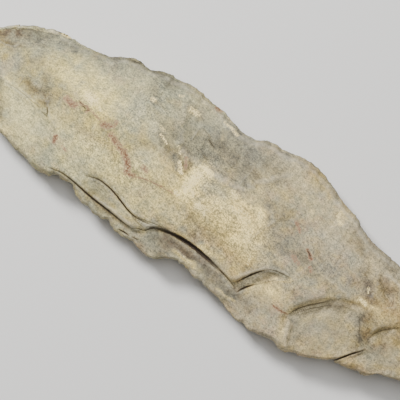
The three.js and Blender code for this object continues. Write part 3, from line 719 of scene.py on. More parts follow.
YELLOW = [
    ([(-53, 2), (-51, -1), (-44, 0), (-36, -1.5), (-24, -5)], 4.2, 0.8),
    ([(-49, 5), (-42, 3.4)], 2.0, 0.8),
    ([(-20, -3.4), (-16, -5)], 1.6, 0.8),
    ([(-14, 1.6), (-7, -4), (3, -3.6), (12, -7)], 4.4, 1.0),
    ([(-22, 7), (-17, 4)], 3.0, 0.6),
    ([(4, 8), (12, 6)], 3.0, 0.55),
    ([(40, 8), (46, 3), (47, 0)], 3.0, 1.0),
    ([(42, -6), (43, -12)], 2.6, 0.8),
    ([(-6, 11.5), (3, 11)], 2.6, 0.4),
    ([(15, 20), (19, 18.2)], 2.0, 0.9),
    ([(34, -18), (46, -12)], 2.4, 0.35),
    ([(-20, -12), (-14, -13)], 2.0, 0.4),
    ([(-10.8, 3.6), (-10.2, -3)], 1.6, 1.0),
    ([(-59, -4), (-50, -4.4)], 1.6, 0.9),
    ([(-52, 3), (-43, 4)], 2.2, 0.9),
    ([(-20, 10.4), (-10, 10.8), (-2, 10.4)], 1.6, 0.6),
    ([(-6, -12.1), (2, -12)], 0.8, 1.2),
    ([(-57, 0.6), (-55, 0)], 1.4, 0.8),
    ([(-65, 3.4), (-63.4, 2)], 1.3, 0.7),
    ([(-52, -2.6), (-50.6, -4)], 1.0, 1.0),
    ([(-22, 19), (-16, 18.2)], 1.4, 0.7),
    ([(-38, -6), (-35, -5.6)], 1.7, 1.0),
    ([(5, 12), (11, 11.4)], 1.6, 0.7),
    ([(-60, -2), (-56, -3)], 1.3, 0.4),
    ([(54, -11), (58.6, -9)], 1.4, 0.7),
    ([(2, -11.4), (7, -11.4)], 1.2, 0.8),
    ([(16.6, -4.2), (19.6, -3.8)], 1.3, 0.6),
    ([(48, 6), (53, 0)], 1.6, 1.0),
    ([(32, -20), (34, -19.6)], 1.0, 0.7),
    ([(-28, -16.4), (-25, -16.6)], 1.2, 0.6),
    ([(-20.6, -16.2), (-17.6, -16)], 1.8, 1.0),
    ([(36.6, -0.6), (40.6, -1.8)], 1.6, 1.0),
    ([(46.6, -3.2), (50.6, -5)], 1.6, 1.1),
    ([(43, 10.4), (49, 5.4)], 1.6, 0.8),
    ([(24.6, 15.8), (26.4, 15)], 1.4, 1.0),
    ([(24, 9.4), (26.4, 8.6)], 1.6, 0.7),
    ([(-30, 1.8), (-28.4, 1.6)], 1.4, 0.9),
    ([(-10.6, 0.8), (-9, 0.4)], 1.2, 0.9),
    ([(20, 2), (28, 0), (34, -2)], 1.8, 0.4),
    ([(16.4, -12), (17, -15)], 1.3, 0.8),
    ([(-71, 4), (-66, 0)], 2.0, 1.0),
    ([(2, 2.4), (6, 1)], 2.4, 1.2),
    ([(52, -3), (56, -2)], 2.0, 0.9),
    ([(-6, 3.4), (0, 3.8)], 1.4, 0.7),
    ([(-10, -6), (-7, -9)], 1.6, 0.7),
    ([(40, -1.4), (46, 1), (52, 3), (56, 0)], 2.0, 1.0),
    ([(38, -8.6), (46, -8)], 1.4, 0.6),
]
BLUE_COLOUR = srgb(158, 157, 138)
BLUE = [
    ([(-66, 8), (-58, 5)], 3.0, 0.7),
    ([(-46, 13.4), (-31, 16.8), (-16, 17), (0, 16.4), (10, 18)], 3.0, 0.6),
    ([(24, 8), (33, 9), (42, 11)], 4.0, 0.7),
    ([(-35, -12), (-31, -12.5)], 2.4, 0.7),
    ([(-29, 6), (-24, 4)], 2.2, 0.5),
    ([(-59, -8), (-50, -10.6)], 2.6, 1.0),
    ([(-46, -15.4), (-44, -14.6)], 2.0, 0.5),
    ([(-47, -5), (-45, -7.4)], 1.5, 0.8),
    ([(-36.6, -13.4), (-33.8, -13.8)], 1.9, 1.2),
    ([(-24, -0.6), (-21.8, -0.6), (-22.4, -3)], 1.5, 1.2),
    ([(-17.4, 3), (-15.4, 1.4)], 1.0, 0.9),
    ([(-15, -1.4), (-14.2, -3)], 1.0, 0.9),
    ([(-4.8, -3.4), (-3.2, -3.8)], 1.0, 0.9),
    ([(9.6, -2.6), (12.6, -3.2)], 1.4, 0.9),
    ([(39.6, 5.8), (41.6, 3.4)], 1.4, 0.8),
    ([(23.8, -7.6), (24.8, -9.8)], 1.5, 0.7),
    ([(53.4, -6), (55, -8)], 1.3, 0.7),
    ([(30, -15), (33, -19)], 1.2, 0.8),
    ([(-21.6, 14), (-19, 14.4)], 1.6, 0.9),
    ([(-24, -17), (-22, -19)], 2.0, 0.4),
    ([(6, -15), (12, -15.4)], 1.4, 0.8),
    ([(-25, -0.6), (-23, -3.4)], 1.6, 0.8),
    ([(-60, 11.2), (-50, 12)], 1.8, 0.9),
    ([(-9, -18.6), (-5, -17.8)], 1.5, 0.9),
    ([(2, -17.4), (14, -17.8)], 1.2, 0.7),
    ([(-24, -14.6), (-18, -15)], 1.0, 0.7),
    ([(28, 13.4), (31, 14)], 1.6, 0.7),
    ([(-54.4, 1.4), (-53, 0)], 1.6, 0.4),
    ([(35, 1.4), (37.6, 0)], 1.2, 0.8),
    ([(37.4, 8), (37.8, 5.6)], 1.1, 0.7),
    ([(11.4, 19.6), (13, 17.6)], 1.3, 0.7),
    ([(-29.6, 10.8), (-24, 10.4)], 1.2, 0.9),
    ([(-34, 6), (-29, 6.8)], 2.0, 0.7),
    ([(-12, 6.8), (-8, 7)], 1.5, 0.9),
    ([(-64, 2), (-62, -2)], 1.8, 0.8),
    ([(-62, -7.4), (-56, -8.4)], 1.8, 0.7),
    ([(-32, 8), (-29, 4)], 2.4, 0.8),
    ([(9, -15), (13, -16.4)], 1.3, 0.8),
    ([(33.5, 3.4), (36, 3)], 1.5, 0.8),
    ([(-24, 12.5), (-12, 13.6)], 2.0, 0.8),
    ([(0, 15), (11, 15.6)], 2.4, 0.8),
    ([(12, 16.6), (17, 16)], 2.0, 0.8),
    ([(13, 1), (18, -1)], 1.8, 0.7),
    ([(24, 4), (32, 1)], 2.2, 0.3),
    ([(19, -16.5), (21, -16.5)], 1.8, 0.8),
    ([(45, -11), (46, -12)], 1.6, 0.35),
    ([(-32, 8), (-29, 7.6)], 2.4, 0.5),
    ([(-50, -16.4), (-42, -17)], 1.6, 0.3),
    ([(-33.6, -8.6), (-30.4, -9.4)], 1.6, 0.9),
    ([(-41.4, -8), (-40.6, -9.4)], 1.3, 0.8),
    ([(8.8, 6.4), (10, 4)], 1.5, 1.0),
    ([(-2.8, -8), (-1.6, -8.8)], 1.1, 0.7),
    ([(41.6, -4.4), (44, -4.8)], 1.2, 0.7),
    ([(25, 5), (31, 5)], 1.4, 0.7),
    ([(33.6, 1.2), (36, 1.6)], 1.2, 0.6),
    ([(8, -14.6), (12, -15)], 1.3, 1.0),
    ([(23.6, 14), (25, 13.2)], 1.2, 0.7),
    ([(-67, 7), (-56, 8.6)], 1.4, 1.0),
    ([(-60, 8.4), (-56, 9.4)], 1.8, 0.8),
    ([(30.4, -13), (32, -9.4), (34.4, -6.6)], 1.6, 0.9),
    ([(14, -13), (17, -9), (19, -7)], 1.0, 0.8),
]
PAINTED_SHADE_FACTOR = srgb(176, 173, 174)         # what places of painted shade are multiplied by
# Painted shade: broad strokes that darken facets and margins where they turn from the light, and
# the strip under the long edge.
PAINTED_SHADE = [
    ([(-71, 6), (-62, 10.4), (-50, 12.2), (-43, 14.4), (-33, 17.8), (-27, 18.6)], 2.3, 0.9),
    ([(-70, 4), (-62, 3.4), (-56, 3)], 3.4, 0.75),
    ([(-57, 3), (-54, -0.5), (-51, -3.5)], 2.4, 0.9),
    ([(-9.5, 13.2), (-4, 12.6), (2, 11.8)], 2.8, 0.9),
    ([(0, 14), (7, 14.6)], 2.8, 0.7),
    ([(-22, 5), (-15, 3.2)], 2.3, 0.6),
    ([(-27, 1), (-23, 1)], 2.0, 0.45),
    ([(11, -0.6), (18, -0.4), (24, 1.6)], 2.2, 0.7),
    ([(9, 7), (17, 5.6)], 2.4, 0.8),
    ([(26, 3.4), (36, 2.8), (42, 4)], 2.6, 0.6),
    ([(30.5, 13.8), (36, 12.6), (43, 11.6)], 1.9, 0.8),
    ([(41.4, 7), (43.4, 3.6), (46.6, 7.5)], 1.9, 0.7),
    ([(45.5, -1), (46, -5), (47, -9.5)], 1.7, 0.9),
    ([(14.5, -16.5), (19.5, -17.2)], 2.2, 0.9),
    ([(-27.5, -16), (-23, -18.6)], 2.5, 0.6),
    ([(-10, -16.4), (-6, -19)], 1.6, 0.8),
    ([(33.6, -16), (38, -16.4)], 2.2, 0.5),
    ([(-69, 7.4), (-60, 8.6)], 2.4, 1.25),
    ([(-71, 3), (-67, 2.4)], 2.4, 1.1),
    ([(-32, 16.5), (-29, 12.5)], 2.2, 0.8),
    ([(-20.5, 15.6), (-18, 15.4)], 1.6, 0.9),
    ([(-10, -11.5), (-4, -11.6)], 1.2, 0.45),
    ([(0, -13.2), (9, -13.8)], 0.7, 0.5),
    ([(13, -9.6), (14.4, -8.4)], 1.2, 0.6),
    ([(38.6, 6.6), (40.6, 4.6), (42.6, 2.4)], 2.2, 1.0),
    ([(-12, -14.4), (-6, -13.7), (2, -13.5), (8, -14.2)], 0.9, 0.9),
    ([(-26, 14.5), (-21, 13)], 2.0, 0.5),
    ([(-8, 17), (-3, 15)], 2.0, 0.9),
    ([(-57, -3.6), (-51.4, -4)], 1.1, 1.0),
    ([(-63, -8), (-58.6, -13.6)], 1.4, 0.9),
    ([(46.6, -2), (47.4, -4)], 1.0, 1.2),
    ([(9.2, 5.6), (10, 3.4)], 1.0, 0.9),
    ([(44.6, -3.6), (46.6, -4.4), (46, -6)], 1.3, 1.0),
    ([(-13.2, 4.4), (-12.2, 2)], 0.9, 0.9),
    ([(-35.6, -0.8), (-34, -1.5)], 0.8, 0.8),
    ([(-31, -12.2), (-27, -12.8)], 1.1, 0.7),
    ([(-13, -12.8), (-8, -12)], 0.9, 0.8),
    ([(15, -20), (20, -20), (27, -19.4)], 1.1, 0.6),
    ([(-25.4, 1), (-23, 2)], 1.2, 0.9),
    ([(51, -5), (51.8, -7)], 0.9, 0.8),
    ([(36, -5.2), (37.4, -4.2)], 1.0, 1.0),
    ([(26.4, -6.6), (27.6, -7.6)], 1.0, 0.7),
    ([(17.6, -10.4), (19, -9.2)], 0.8, 0.8),
    ([(46.4, -2.6), (47.6, -3.6)], 1.0, 0.8),
    ([(53, 1), (55, -2)], 1.6, 0.6),
    ([(5, 19.6), (13, 20.6), (20, 18.6)], 1.4, 0.6),
    ([(31.6, 12.8), (35, 11.2)], 2.2, 1.0),
    ([(-52, 2), (-47, -1.5)], 2.0, 0.5),
    ([(-5, -10.4), (-1, -10.4), (0, -14.4)], 1.3, 0.85),
    ([(-11.6, 7), (-9.4, 7)], 1.5, 0.7),
    ([(-58.4, 9.4), (-57, 3)], 1.6, 0.6),
    ([(-65.4, -5), (-60, -11)], 1.5, 0.8),
    ([(-4, -2), (-2, -3)], 1.4, 0.5),
    ([(42.4, 5), (43.4, 3)], 1.1, 0.8),
    ([(19.6, -14), (25.6, -12.2)], 1.6, 0.5),
    ([(51, -6), (52.4, -7)], 1.4, 0.6),
    ([(-23, 7), (-17.6, 7.8)], 1.5, 0.55),
    ([(27, -0.6), (38, -1.4)], 1.6, 0.5),
    ([(-8, 13.8), (-3, 13.6)], 1.8, 1.0),
    ([(12.4, 0), (14, -2)], 1.6, 0.6),
    ([(-23, 5.6), (-19, 3.6), (-14, 2)], 1.7, 1.0),
    ([(8, -17.4), (10, -17.6)], 1.4, 0.7),
    ([(-40, 16.6), (-35, 17.6), (-28, 18)], 2.2, 1.0),
    ([(-66, 4.6), (-57, 5.4)], 1.8, 0.6),
    ([(45, -3.6), (46.8, -6)], 1.3, 1.0),
    ([(-2, 17.6), (4, 18.6)], 2.2, 0.5),
    ([(-66, -1), (-56, -1)], 3.4, 0.5),
    ([(-51, -1), (-50.4, -4.4)], 1.4, 0.6),
    ([(-6, -13.6), (2, -13.4)], 0.9, 0.7),
    ([(-14, -18.8), (-12, -19.4)], 1.6, 0.6),
]

# Where small dark flecks crowd together
FLECKED = [
    ([(-22, 15.5), (-19.8, 10), (-18, 7)], 0.8, 1.0),
    ([(-19, 7.5), (-12, 7), (-5, 8)], 0.9, 1.0),
    ([(0, 7.5), (4, 8.4)], 1.0, 1.0),
    ([(-33, 6), (-31, 10), (-29, 14.5)], 1.3, 0.9),
    ([(-27, 5), (-24, 9)], 1.4, 0.6),
    ([(11, 6.4), (13, 4.8)], 1.0, 1.0),
    ([(12, -1), (18, 1), (24, -2)], 2.4, 0.6),
    ([(14, 12), (20, 9), (26, 6)], 3.0, 0.45),
    ([(-44.5, 0.3), (-41, 0.6)], 0.6, 0.8),
    ([(-58, -3), (-52, -2)], 1.2, 0.6),
    ([(28, 8), (40, 4)], 2.4, 0.4),
]

# Where the hollows are clean of dirt
CLEAN = [
    ([(43, -2.6), (45.6, -5.4), (47.6, -8)], 2.0, 0.85),
    ([(-11, -13), (-6, -12), (0, -11.8), (8, -12.6), (13, -14)], 0.9, 0.8),
    ([(29.6, -12), (32.4, -8.4), (36.5, -4.4), (42, -2.2)], 2.6, 0.9),
    ([(48.8, -7), (49.6, -3.6), (52.6, -0.6)], 1.6, 0.8),
    ([(14.4, -13.6), (16.4, -10.8), (19.4, -7.6)], 1.3, 0.6),
    ([(30.6, -15), (33, -20)], 1.4, 0.6),
]

# Where the streaks of the blows rise towards the butt, and where they rise steeply
RISING = [([(-64, 6), (-50, 8), (-38, 8)], 8.0, 1.0)]
STEEP = [([(35, -8), (40, -14)], 6.0, 1.0)]

# Where the grain is coarser, and where it is smoother
COARSE = [
    ([(-9, 3), (-4, -3), (4, 0), (10, -5)], 5.0, 1.0),
    ([(-37, -5), (-18, -6)], 4.0, 0.55),
    ([(-8, -8.5), (11, -9)], 2.6, 0.6),
    ([(-32, 3), (-29, 12)], 3.5, 0.45),
    ([(-46, 0), (-40, 1)], 3.0, 0.4),
]
SMOOTH = [
    ([(35, -8), (41, -13)], 5.0, 1.0),
    ([(-59, -9), (-50, -12)], 5.0, 0.6),
    ([(12, 14), (22, 13), (34, 11)], 5.0, 0.6),
    ([(-9, -15.5), (2, -15.5), (13, -16.8)], 1.7, 0.8),
    ([(-15, 13.5), (2, 14.5)], 4.0, 0.45),
    ([(20, -11), (24, -17)], 4.5, 0.4),
    ([(-62, 8), (-45, 10)], 4.0, 0.35),
    ([(52, -4), (56, -9)], 3.0, 0.8),
    ([(-32, -15.4), (-20, -16)], 1.4, 0.6),
]

CLOUD_WAVER = (1.6, 4.5)     # how far a cloud's edge wanders, and over what length
STAIN_WAVER = (0.4, 1.1)
WAVER_SEED = 1               # so that each run draws the same wandering
WAVER_LAYER = 0.5            # the height at which the noise is cut
WAVER_SHARES = (0.7, 0.3)    # of the broad wander and of the fine one on it
FINE_WAVER = 2.7             # how many times finer that one is
HOLLOW_ROUNDS = (3, 12)      # how widely heights are averaged to find hollows, in rounds
HOLLOW_GAIN = (9.0, 3.5)
HOLLOW_STEP = 0.25
RIM_WIDTH = 3.5              # along the margins the hollows fade out over this width
ROW_SLACK = 1e-4             # how far a corner may lie off its row, in millimetres


def wavered(x, y, waver):
    """The places moved about by smooth noise, so that what is drawn there gets rough edges."""
    amount, length = waver
    broad_share, fine_share = WAVER_SHARES
    moved_x, moved_y = x.copy(), y.copy()
    for i in range(x.shape[0]):
        for j in range(x.shape[1]):
            spot = Vector((x[i, j] / length, y[i, j] / length, WAVER_LAYER))
            fine_push = noise.noise_vector(spot * FINE_WAVER)
            push = noise.noise_vector(spot) * broad_share + fine_push * fine_share
            moved_x[i, j] += amount * push.x
            moved_y[i, j] += amount * push.y
    return moved_x, moved_y


def stained(strokes, places):
    """How strong a colour is at each place: that of the strongest stroke over it."""
    amount = np.zeros_like(places[0])
    for points, width, strength in strokes:
        near, _ = soft_stroke(points, width, *places)
        amount = np.maximum(amount, strength * near)
    return amount


def hollowness(z):
    """Above zero in hollows and below zero on edges."""
    total = np.zeros_like(z)
    evened, done = z.copy(), 0
    for rounds, gain in zip(HOLLOW_ROUNDS, HOLLOW_GAIN):
        while done < rounds:
            spread(evened, HOLLOW_STEP)
            done += 1
        total += gain * (evened - z)
    return total


noise.seed_set(WAVER_SEED)
cloud_places = wavered(face_x, face_y, CLOUD_WAVER)
stain_places = wavered(face_x, face_y, STAIN_WAVER)
face_rim = margin_fade(face_x, face_y, RIM_WIDTH)
back_rim = margin_fade(back_x, back_y, RIM_WIDTH)
dirty = 1 - stained(CLEAN, stain_places)
face_paint = {
    "stains": [stained(kind, stain_places) for kind in (RUST, CHALK, FLECKED)],
    "clouds": [stained(kind, cloud_places) for kind in (OCHRE, SLATE, CREAM_AND_LIGHT)],
    "tones": [stained(UMBER_AND_SHADE, cloud_places), stained(DIRT_AND_SHADE, stain_places),
              hollowness(face_z) * face_rim * dirty],
    "casts_and_shade": [stained(kind, cloud_places) for kind in (YELLOW, BLUE, PAINTED_SHADE)],
    "cracks": [crack_offset, crack_width, crack_soil_and_shadow],
    "blows": [stained(RISING, cloud_places), stained(STEEP, cloud_places),
              stained(PALE_AND_PAINTED_LIGHT, stain_places)],
    "grains": [stained(kind, cloud_places) for kind in (COARSE, SMOOTH)],
}
nothing = np.zeros_like(back_x)
back_paint = {name: [nothing] * 3 for name in face_paint}
back_paint["tones"][2] = hollowness(back_z) * back_rim
back_paint["cracks"][0] = nothing + CRACK_REACH


def put_paint(mesh, face_paint, back_paint):
    """Carries the paint from the nets to the mesh, by the place of each corner."""
    corners = np.empty(len(mesh.vertices) * 3)
    mesh.vertices.foreach_get("co", corners)
    corners = corners.reshape(-1, 3) / MM
    row = np.clip(np.searchsorted(face_x[:, 0], corners[:, 0] - ROW_SLACK), 0, ROWS)
    for name in face_paint:
        attribute = mesh.attributes.new(name, "FLOAT_COLOR", "POINT")
        colour = np.ones((len(corners), 4))
        for net_y, net_z, paint in ((back_y, back_z, back_paint), (face_y, face_z, face_paint)):
            column = np.abs(net_y[row] - corners[:, 1:2]).argmin(axis=1)
            here = np.abs(net_z[row, column] - corners[:, 2]) < TINY
            for channel, layer in enumerate(paint[name]):
                colour[here, channel] = layer[row, column][here]
        attribute.data.foreach_set("color", colour.ravel())


put_paint(mesh, face_paint, back_paint)


# The stone's skin: matte, slightly granular flint, whose patina runs from cool to warm in
# soft clouds. It is paler on worn edges and dirty in hollows, and fine dark and pale flecks
# lie all through it. The painted colours lie on the patina, painted shade and painted light
# among them, and the cracks' soil and painted shadow on top.
PATINA_COOL = srgb(156, 150, 119)
PATINA_WARM = srgb(180, 165, 122)
ROSE_COLOUR = srgb(176, 144, 112)
FLECK_DARK = srgb(78, 72, 60)
FLECK_PALE = srgb(232, 222, 196)
SOIL_AND_SHADOW_COLOUR = srgb(40, 27, 11)
GREENER = (0.972, 1.022, 0.975, 1)     # what the patina is multiplied by towards the bit
ROSIER = (1.012, 0.988, 1.01, 1)       # and towards the butt
GLOSS = 0.35

# Each noise has its number of waves to a millimetre, its octaves and their roughness
BROAD = (0.08, 2, 0.6)
MIDDLING = (0.42, 2, 0.5)
MOTTLE = (1.25, 3, 0.6)
FINE = (2.9, 2, 0.6)
CRUMBS = (3.2, 2, 0.75)
SPECKLE = (2.2, 3, 0.7)
STREAKS = (1.9, 3, 0.6)
STREAK_STRETCH = 2.4
FALLING_TURN = math.radians(-17)
RISING_TURN = math.radians(22)
STEEP_TURN = math.radians(55)
CASTS = (((0.14, 3, 0.55), 0.7, YELLOW_COLOUR),
         ((0.11, 3, 0.55), 0.7, BLUE_COLOUR),
         ((0.27, 3, 0.55), 0.35, ROSE_COLOUR))
DARK_FLECKS = 1.4                      # to a millimetre

# How much each value counts in a sum
PATINA_WEIGHTS = (0.6, 0.4)
GRAIN_WEIGHTS = (1.6, 0.7, 0.9)
GRAIN_MIDDLE = 1.6
GAIN_WEIGHTS = (0.7, -0.35)
GAIN_MIDDLE = 0.98
RUST_WEIGHTS = (0.6, 2.8)
BRUISE_WEIGHTS = (0.8, 4.0)
BUMP_WEIGHTS = (0.5, 0.8)

# Each range is from and to which value it runs, and what it gives there if not 0 and 1
PATINA_RANGE = (0.4, 0.6)
CAST_RANGE = (0.5, 0.66)
CLOUD_PATCHES = (0.34, 0.58, 0.4, 1)
CAST_PATCHES = (0.3, 0.6, 0.4, 0.85)
GREENER_RANGE = (-5, -30)
ROSIER_RANGE = (0, 25)
GRAIN_RANGE = (-0.3, 0.6)
FLECK_SIZE = (0, 1, 0.02, 0.3)
FLECK_EDGE = (0.04, -0.08, 0, 0.7)
CRUMB_RANGE = (0.66, 0.76, 0, 0.6)
DUSTY_HOLLOW = (0.2, 1.4, 0, 0.2)
DIRTY_HOLLOW = (1.2, 4.0, 0, 0.35)
WORN_EDGE = (-0.2, -1.6, 0, 0.3)
STAIN_START = (0.02, 0.3)
RUST_HALO = (1.15, 1.7, 0, 0.7)
RUST_HEART = (1.57, 1.97)
RUST_STRENGTH = (0, 0.8, 0.3, 1)
BRUISE_HALO = (2.0, 2.7, 0, 0.45)
BRUISE_HEART = (2.45, 2.7)
CRACK_WOBBLE = (0.35, 0.65, 0.75, 1.25)
SOIL_AND_SHADOW_HAZE = (0.45, 0, 0, 0.3)
SOIL_AND_SHADOW_LINE = (0.09, -0.04)
MATTNESS = (0.3, 0.7, 0.62, 0.82)

# How far the grain darkens and lightens, and how much of that red, green and blue take,
# so that it stays neutral on the yellowish stone
GRAIN_DARKER = 0.6
GRAIN_LIGHTER = 1.2
GRAIN_SWING = (0.85, 0.81, 0.7)
COARSE_BUMP = {"Strength": 0.4, "Distance": 0.2 * MM}
FINE_BUMP = {"Strength": 0.8, "Distance": 0.1 * MM}

skin = bpy.data.materials.new("flint_skin")
skin.use_nodes = True
tree = skin.node_tree
shader = tree.nodes["Principled BSDF"]


def feed(socket, value):
    if isinstance(value, bpy.types.NodeSocket):
        tree.links.new(value, socket)
    else:
        socket.default_value = value


def node(kind, inputs=(), **settings):
    made = tree.nodes.new(kind)
    for name, value in settings.items():
        setattr(made, name, value)
    for name, value in dict(inputs).items():
        feed(made.inputs[name], value)
    return made


def mixed(share, below, above, blend="MIX"):
    """A share of one colour over another."""
    made = node("ShaderNodeMix", data_type="RGBA", blend_type=blend)
    feed(made.inputs[0], share)
    feed(made.inputs[6], below)
    feed(made.inputs[7], above)
    return made.outputs[2]


def either(share, below, above):
    """A share of one value, and the rest of the other."""
    made = node("ShaderNodeMix", data_type="FLOAT")
    feed(made.inputs[0], share)
    feed(made.inputs[2], below)
    feed(made.inputs[3], above)
    return made.outputs[0]


def reckon(operation, first, second=0.0):
    made = node("ShaderNodeMath", operation=operation)
    feed(made.inputs[0], first)
    feed(made.inputs[1], second)
    return made.outputs[0]


def weighed(values, weights):
    """The sum of the values, each times its weight."""
    shares = [reckon("MULTIPLY", value, weight) for value, weight in zip(values, weights)]
    total = shares[0]
    for share in shares[1:]:
        total = reckon("ADD", total, share)
    return total


def between(value, low, high, bottom=0.0, top=1.0):
    """The bottom value at low, the top one at high, and clamped."""
    made = node("ShaderNodeMapRange", {"Value": value, "From Min": low, "From Max": high,
                                       "To Min": bottom, "To Max": top})
    return made.outputs["Result"]


millimetres = node("ShaderNodeMapping", {"Scale": (1 / MM,) * 3})
feed(millimetres.inputs["Vector"], node("ShaderNodeTexCoord").outputs["Object"])
spot = millimetres.outputs["Vector"]


def clouds(per_mm, detail, roughness, where=spot):
    made = node("ShaderNodeTexNoise", {
        "Vector": where, "Scale": per_mm, "Detail": detail, "Roughness": roughness})
    return made.outputs["Fac"]


def streaks_along(turn):
    stretched = node("ShaderNodeMapping", {
        "Vector": spot, "Rotation": (0, 0, turn), "Scale": (STREAK_STRETCH, 1, 1)},
        vector_type="TEXTURE")
    return clouds(*STREAKS, stretched.outputs["Vector"])


def painted(name):
    """The three values that an attribute carries."""
    split = node("ShaderNodeSeparateColor")
    feed(split.inputs[0], node("ShaderNodeAttribute", attribute_name=name).outputs["Color"])
    return tuple(split.outputs)


rust, chalk, flecked = painted("stains")
ochre, slate, cream_and_light = painted("clouds")
umber_and_shade, dirt_and_shade, hollow = painted("tones")
yellow, blue, painted_shade = painted("casts_and_shade")
offset, half_width, soil_and_shadow = painted("cracks")
rising, steep, pale_and_lit = painted("blows")
coarse, smooth, _ = painted("grains")
middling = clouds(*MIDDLING)
mottle = clouds(*MOTTLE)
fine = clouds(*FINE)
crumbs = clouds(*CRUMBS)
streaks = either(rising, streaks_along(FALLING_TURN), streaks_along(RISING_TURN))
streaks = either(steep, streaks, streaks_along(STEEP_TURN))

# The patina, the clouds in it, and the painted light and shade
cool_or_warm = between(weighed((clouds(*BROAD), middling), PATINA_WEIGHTS), *PATINA_RANGE)
colour = mixed(cool_or_warm, PATINA_COOL, PATINA_WARM)
for cast, most, tint in CASTS:
    colour = mixed(between(clouds(*cast), *CAST_RANGE, 0, most), colour, tint)
cast_share = between(middling, *CAST_PATCHES)
for cast, tint in ((yellow, YELLOW_COLOUR), (blue, BLUE_COLOUR)):
    colour = mixed(reckon("MULTIPLY", cast, cast_share), colour, tint)
patchy = between(middling, *CLOUD_PATCHES)
for cloud, tint in ((ochre, OCHRE_COLOUR), (slate, SLATE_COLOUR), (cream_and_light, CREAM_COLOUR),
                    (umber_and_shade, UMBER_COLOUR), (dirt_and_shade, DIRT_AND_SHADE_COLOUR), (pale_and_lit, PALE_COLOUR)):
    colour = mixed(reckon("MULTIPLY", cloud, patchy), colour, tint)
colour = mixed(reckon("MULTIPLY", painted_shade, patchy), colour, PAINTED_SHADE_FACTOR, "MULTIPLY")
along = node("ShaderNodeSeparateXYZ", {"Vector": spot}).outputs["X"]
colour = mixed(between(along, *GREENER_RANGE), colour, GREENER, "MULTIPLY")
colour = mixed(between(along, *ROSIER_RANGE), colour, ROSIER, "MULTIPLY")

# The grain and the flecks
grain = reckon("SUBTRACT", weighed((fine, mottle, streaks), GRAIN_WEIGHTS), GRAIN_MIDDLE)
gain = reckon("ADD", weighed((coarse, smooth), GAIN_WEIGHTS), GAIN_MIDDLE)
grain = reckon("MULTIPLY", grain, gain)
grain_colour = node("ShaderNodeCombineColor")
for channel, swing in enumerate(GRAIN_SWING):
    darkest, lightest = 1 - GRAIN_DARKER * swing, 1 + GRAIN_LIGHTER * swing
    feed(grain_colour.inputs[channel], between(grain, *GRAIN_RANGE, darkest, lightest))
colour = mixed(1, colour, grain_colour.outputs[0], "MULTIPLY")
dark_flecks = node("ShaderNodeTexVoronoi", {"Vector": spot, "Scale": DARK_FLECKS}, feature="F1")
fleck_size = between(flecked, *FLECK_SIZE)
from_fleck = reckon("SUBTRACT", dark_flecks.outputs["Distance"], fleck_size)
colour = mixed(between(from_fleck, *FLECK_EDGE), colour, FLECK_DARK)
colour = mixed(between(crumbs, *CRUMB_RANGE), colour, FLECK_PALE)

# The dirt in hollows and the wear on edges
for depth, tint in ((DUSTY_HOLLOW, UMBER_COLOUR), (DIRTY_HOLLOW, SOIL_AND_SHADOW_COLOUR),
                    (WORN_EDGE, FLECK_PALE)):
    colour = mixed(between(hollow, *depth), colour, tint)

# The rust and the bruises, broken up by the crumbs
seeped = reckon("MULTIPLY", weighed((rust, clouds(*SPECKLE)), RUST_WEIGHTS),
                between(rust, *STAIN_START))
colour = mixed(between(seeped, *RUST_HALO), colour, ROSE_COLOUR)
rust_share = reckon("MULTIPLY", between(seeped, *RUST_HEART), between(rust, *RUST_STRENGTH))
colour = mixed(rust_share, colour, RUST_COLOUR)
bruised = reckon("MULTIPLY", weighed((chalk, crumbs), BRUISE_WEIGHTS),
                 between(chalk, *STAIN_START))
colour = mixed(between(bruised, *BRUISE_HALO), colour, CREAM_COLOUR)
colour = mixed(between(bruised, *BRUISE_HEART), colour, CHALK_COLOUR)

# The soil and painted shadow in the cracks: a haze to each side of them, then the line itself
wobble = reckon("MULTIPLY", half_width, between(mottle, *CRACK_WOBBLE))
from_crack = reckon("SUBTRACT", reckon("ABSOLUTE", offset), wobble)
for edge in (SOIL_AND_SHADOW_HAZE, SOIL_AND_SHADOW_LINE):
    colour = mixed(reckon("MULTIPLY", soil_and_shadow, between(from_crack, *edge)), colour, SOIL_AND_SHADOW_COLOUR)

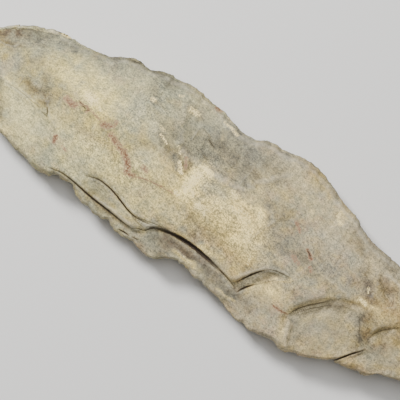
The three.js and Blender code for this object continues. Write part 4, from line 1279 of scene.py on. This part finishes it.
feed(shader.inputs["Base Color"], colour)
feed(shader.inputs["Roughness"], between(fine, *MATTNESS))
shader.inputs["Specular IOR Level"].default_value = GLOSS
coarse_bump = node("ShaderNodeBump", {"Height": weighed((mottle, streaks), BUMP_WEIGHTS),
                                      **COARSE_BUMP})
fine_bump = node("ShaderNodeBump", {"Height": fine, "Normal": coarse_bump.outputs["Normal"],
                                    **FINE_BUMP})
feed(shader.inputs["Normal"], fine_bump.outputs["Normal"])
mesh.materials.append(skin)
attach(stone, "root")
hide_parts("chisel")


# The table: a plain pale board, painted matte, under the stone. It is only the stage and
# reaches well past the view.
TABLE_REACH = 1.5
TABLE_COLOUR = (0.72, 0.71, 0.69, 1)
TABLE_ROUGHNESS = 0.9

board = bmesh.new()
bmesh.ops.create_grid(board, x_segments=1, y_segments=1, size=TABLE_REACH)
table_mesh = bpy.data.meshes.new("table")
board.to_mesh(table_mesh)
board.free()
table = bpy.data.objects.new("table", table_mesh)
bpy.context.scene.collection.objects.link(table)
table_paint = bpy.data.materials.new("pale_board")
table_paint.use_nodes = True
board_shader = table_paint.node_tree.nodes["Principled BSDF"]
board_shader.inputs["Base Color"].default_value = TABLE_COLOUR
board_shader.inputs["Roughness"].default_value = TABLE_ROUGHNESS
table_mesh.materials.append(table_paint)


# The light: a broad soft sheet overhead and a smaller, stronger one from the bit's side,
# which draws the steps and the scars. A faint even glow lifts the shadows.
LAMP_DISTANCE = 0.8
OVERHEAD = {"azimuth": 120, "elevation": 78, "size": 0.45, "watts": 4}
KEY = {"azimuth": 160, "elevation": 46, "size": 0.16, "watts": 9.5}
GLOW = 0.1


def soft_light(name, azimuth, elevation, size, watts):
    data = bpy.data.lights.new(name, "AREA")
    data.size = size
    data.energy = watts
    lamp = bpy.data.objects.new(name, data)
    around, up = math.radians(azimuth), math.radians(elevation)
    flat = LAMP_DISTANCE * math.cos(up)
    lamp.location = (flat * math.cos(around), flat * math.sin(around), LAMP_DISTANCE * math.sin(up))
    lamp.rotation_euler = Vector(lamp.location).to_track_quat("Z", "Y").to_euler()
    bpy.context.scene.collection.objects.link(lamp)


soft_light("overhead", **OVERHEAD)
soft_light("key", **KEY)
world = bpy.data.worlds.new("studio")
world.use_nodes = True
world.node_tree.nodes["Background"].inputs["Color"].default_value = (1, 1, 1, 1)
world.node_tree.nodes["Background"].inputs["Strength"].default_value = GLOW
bpy.context.scene.world = world
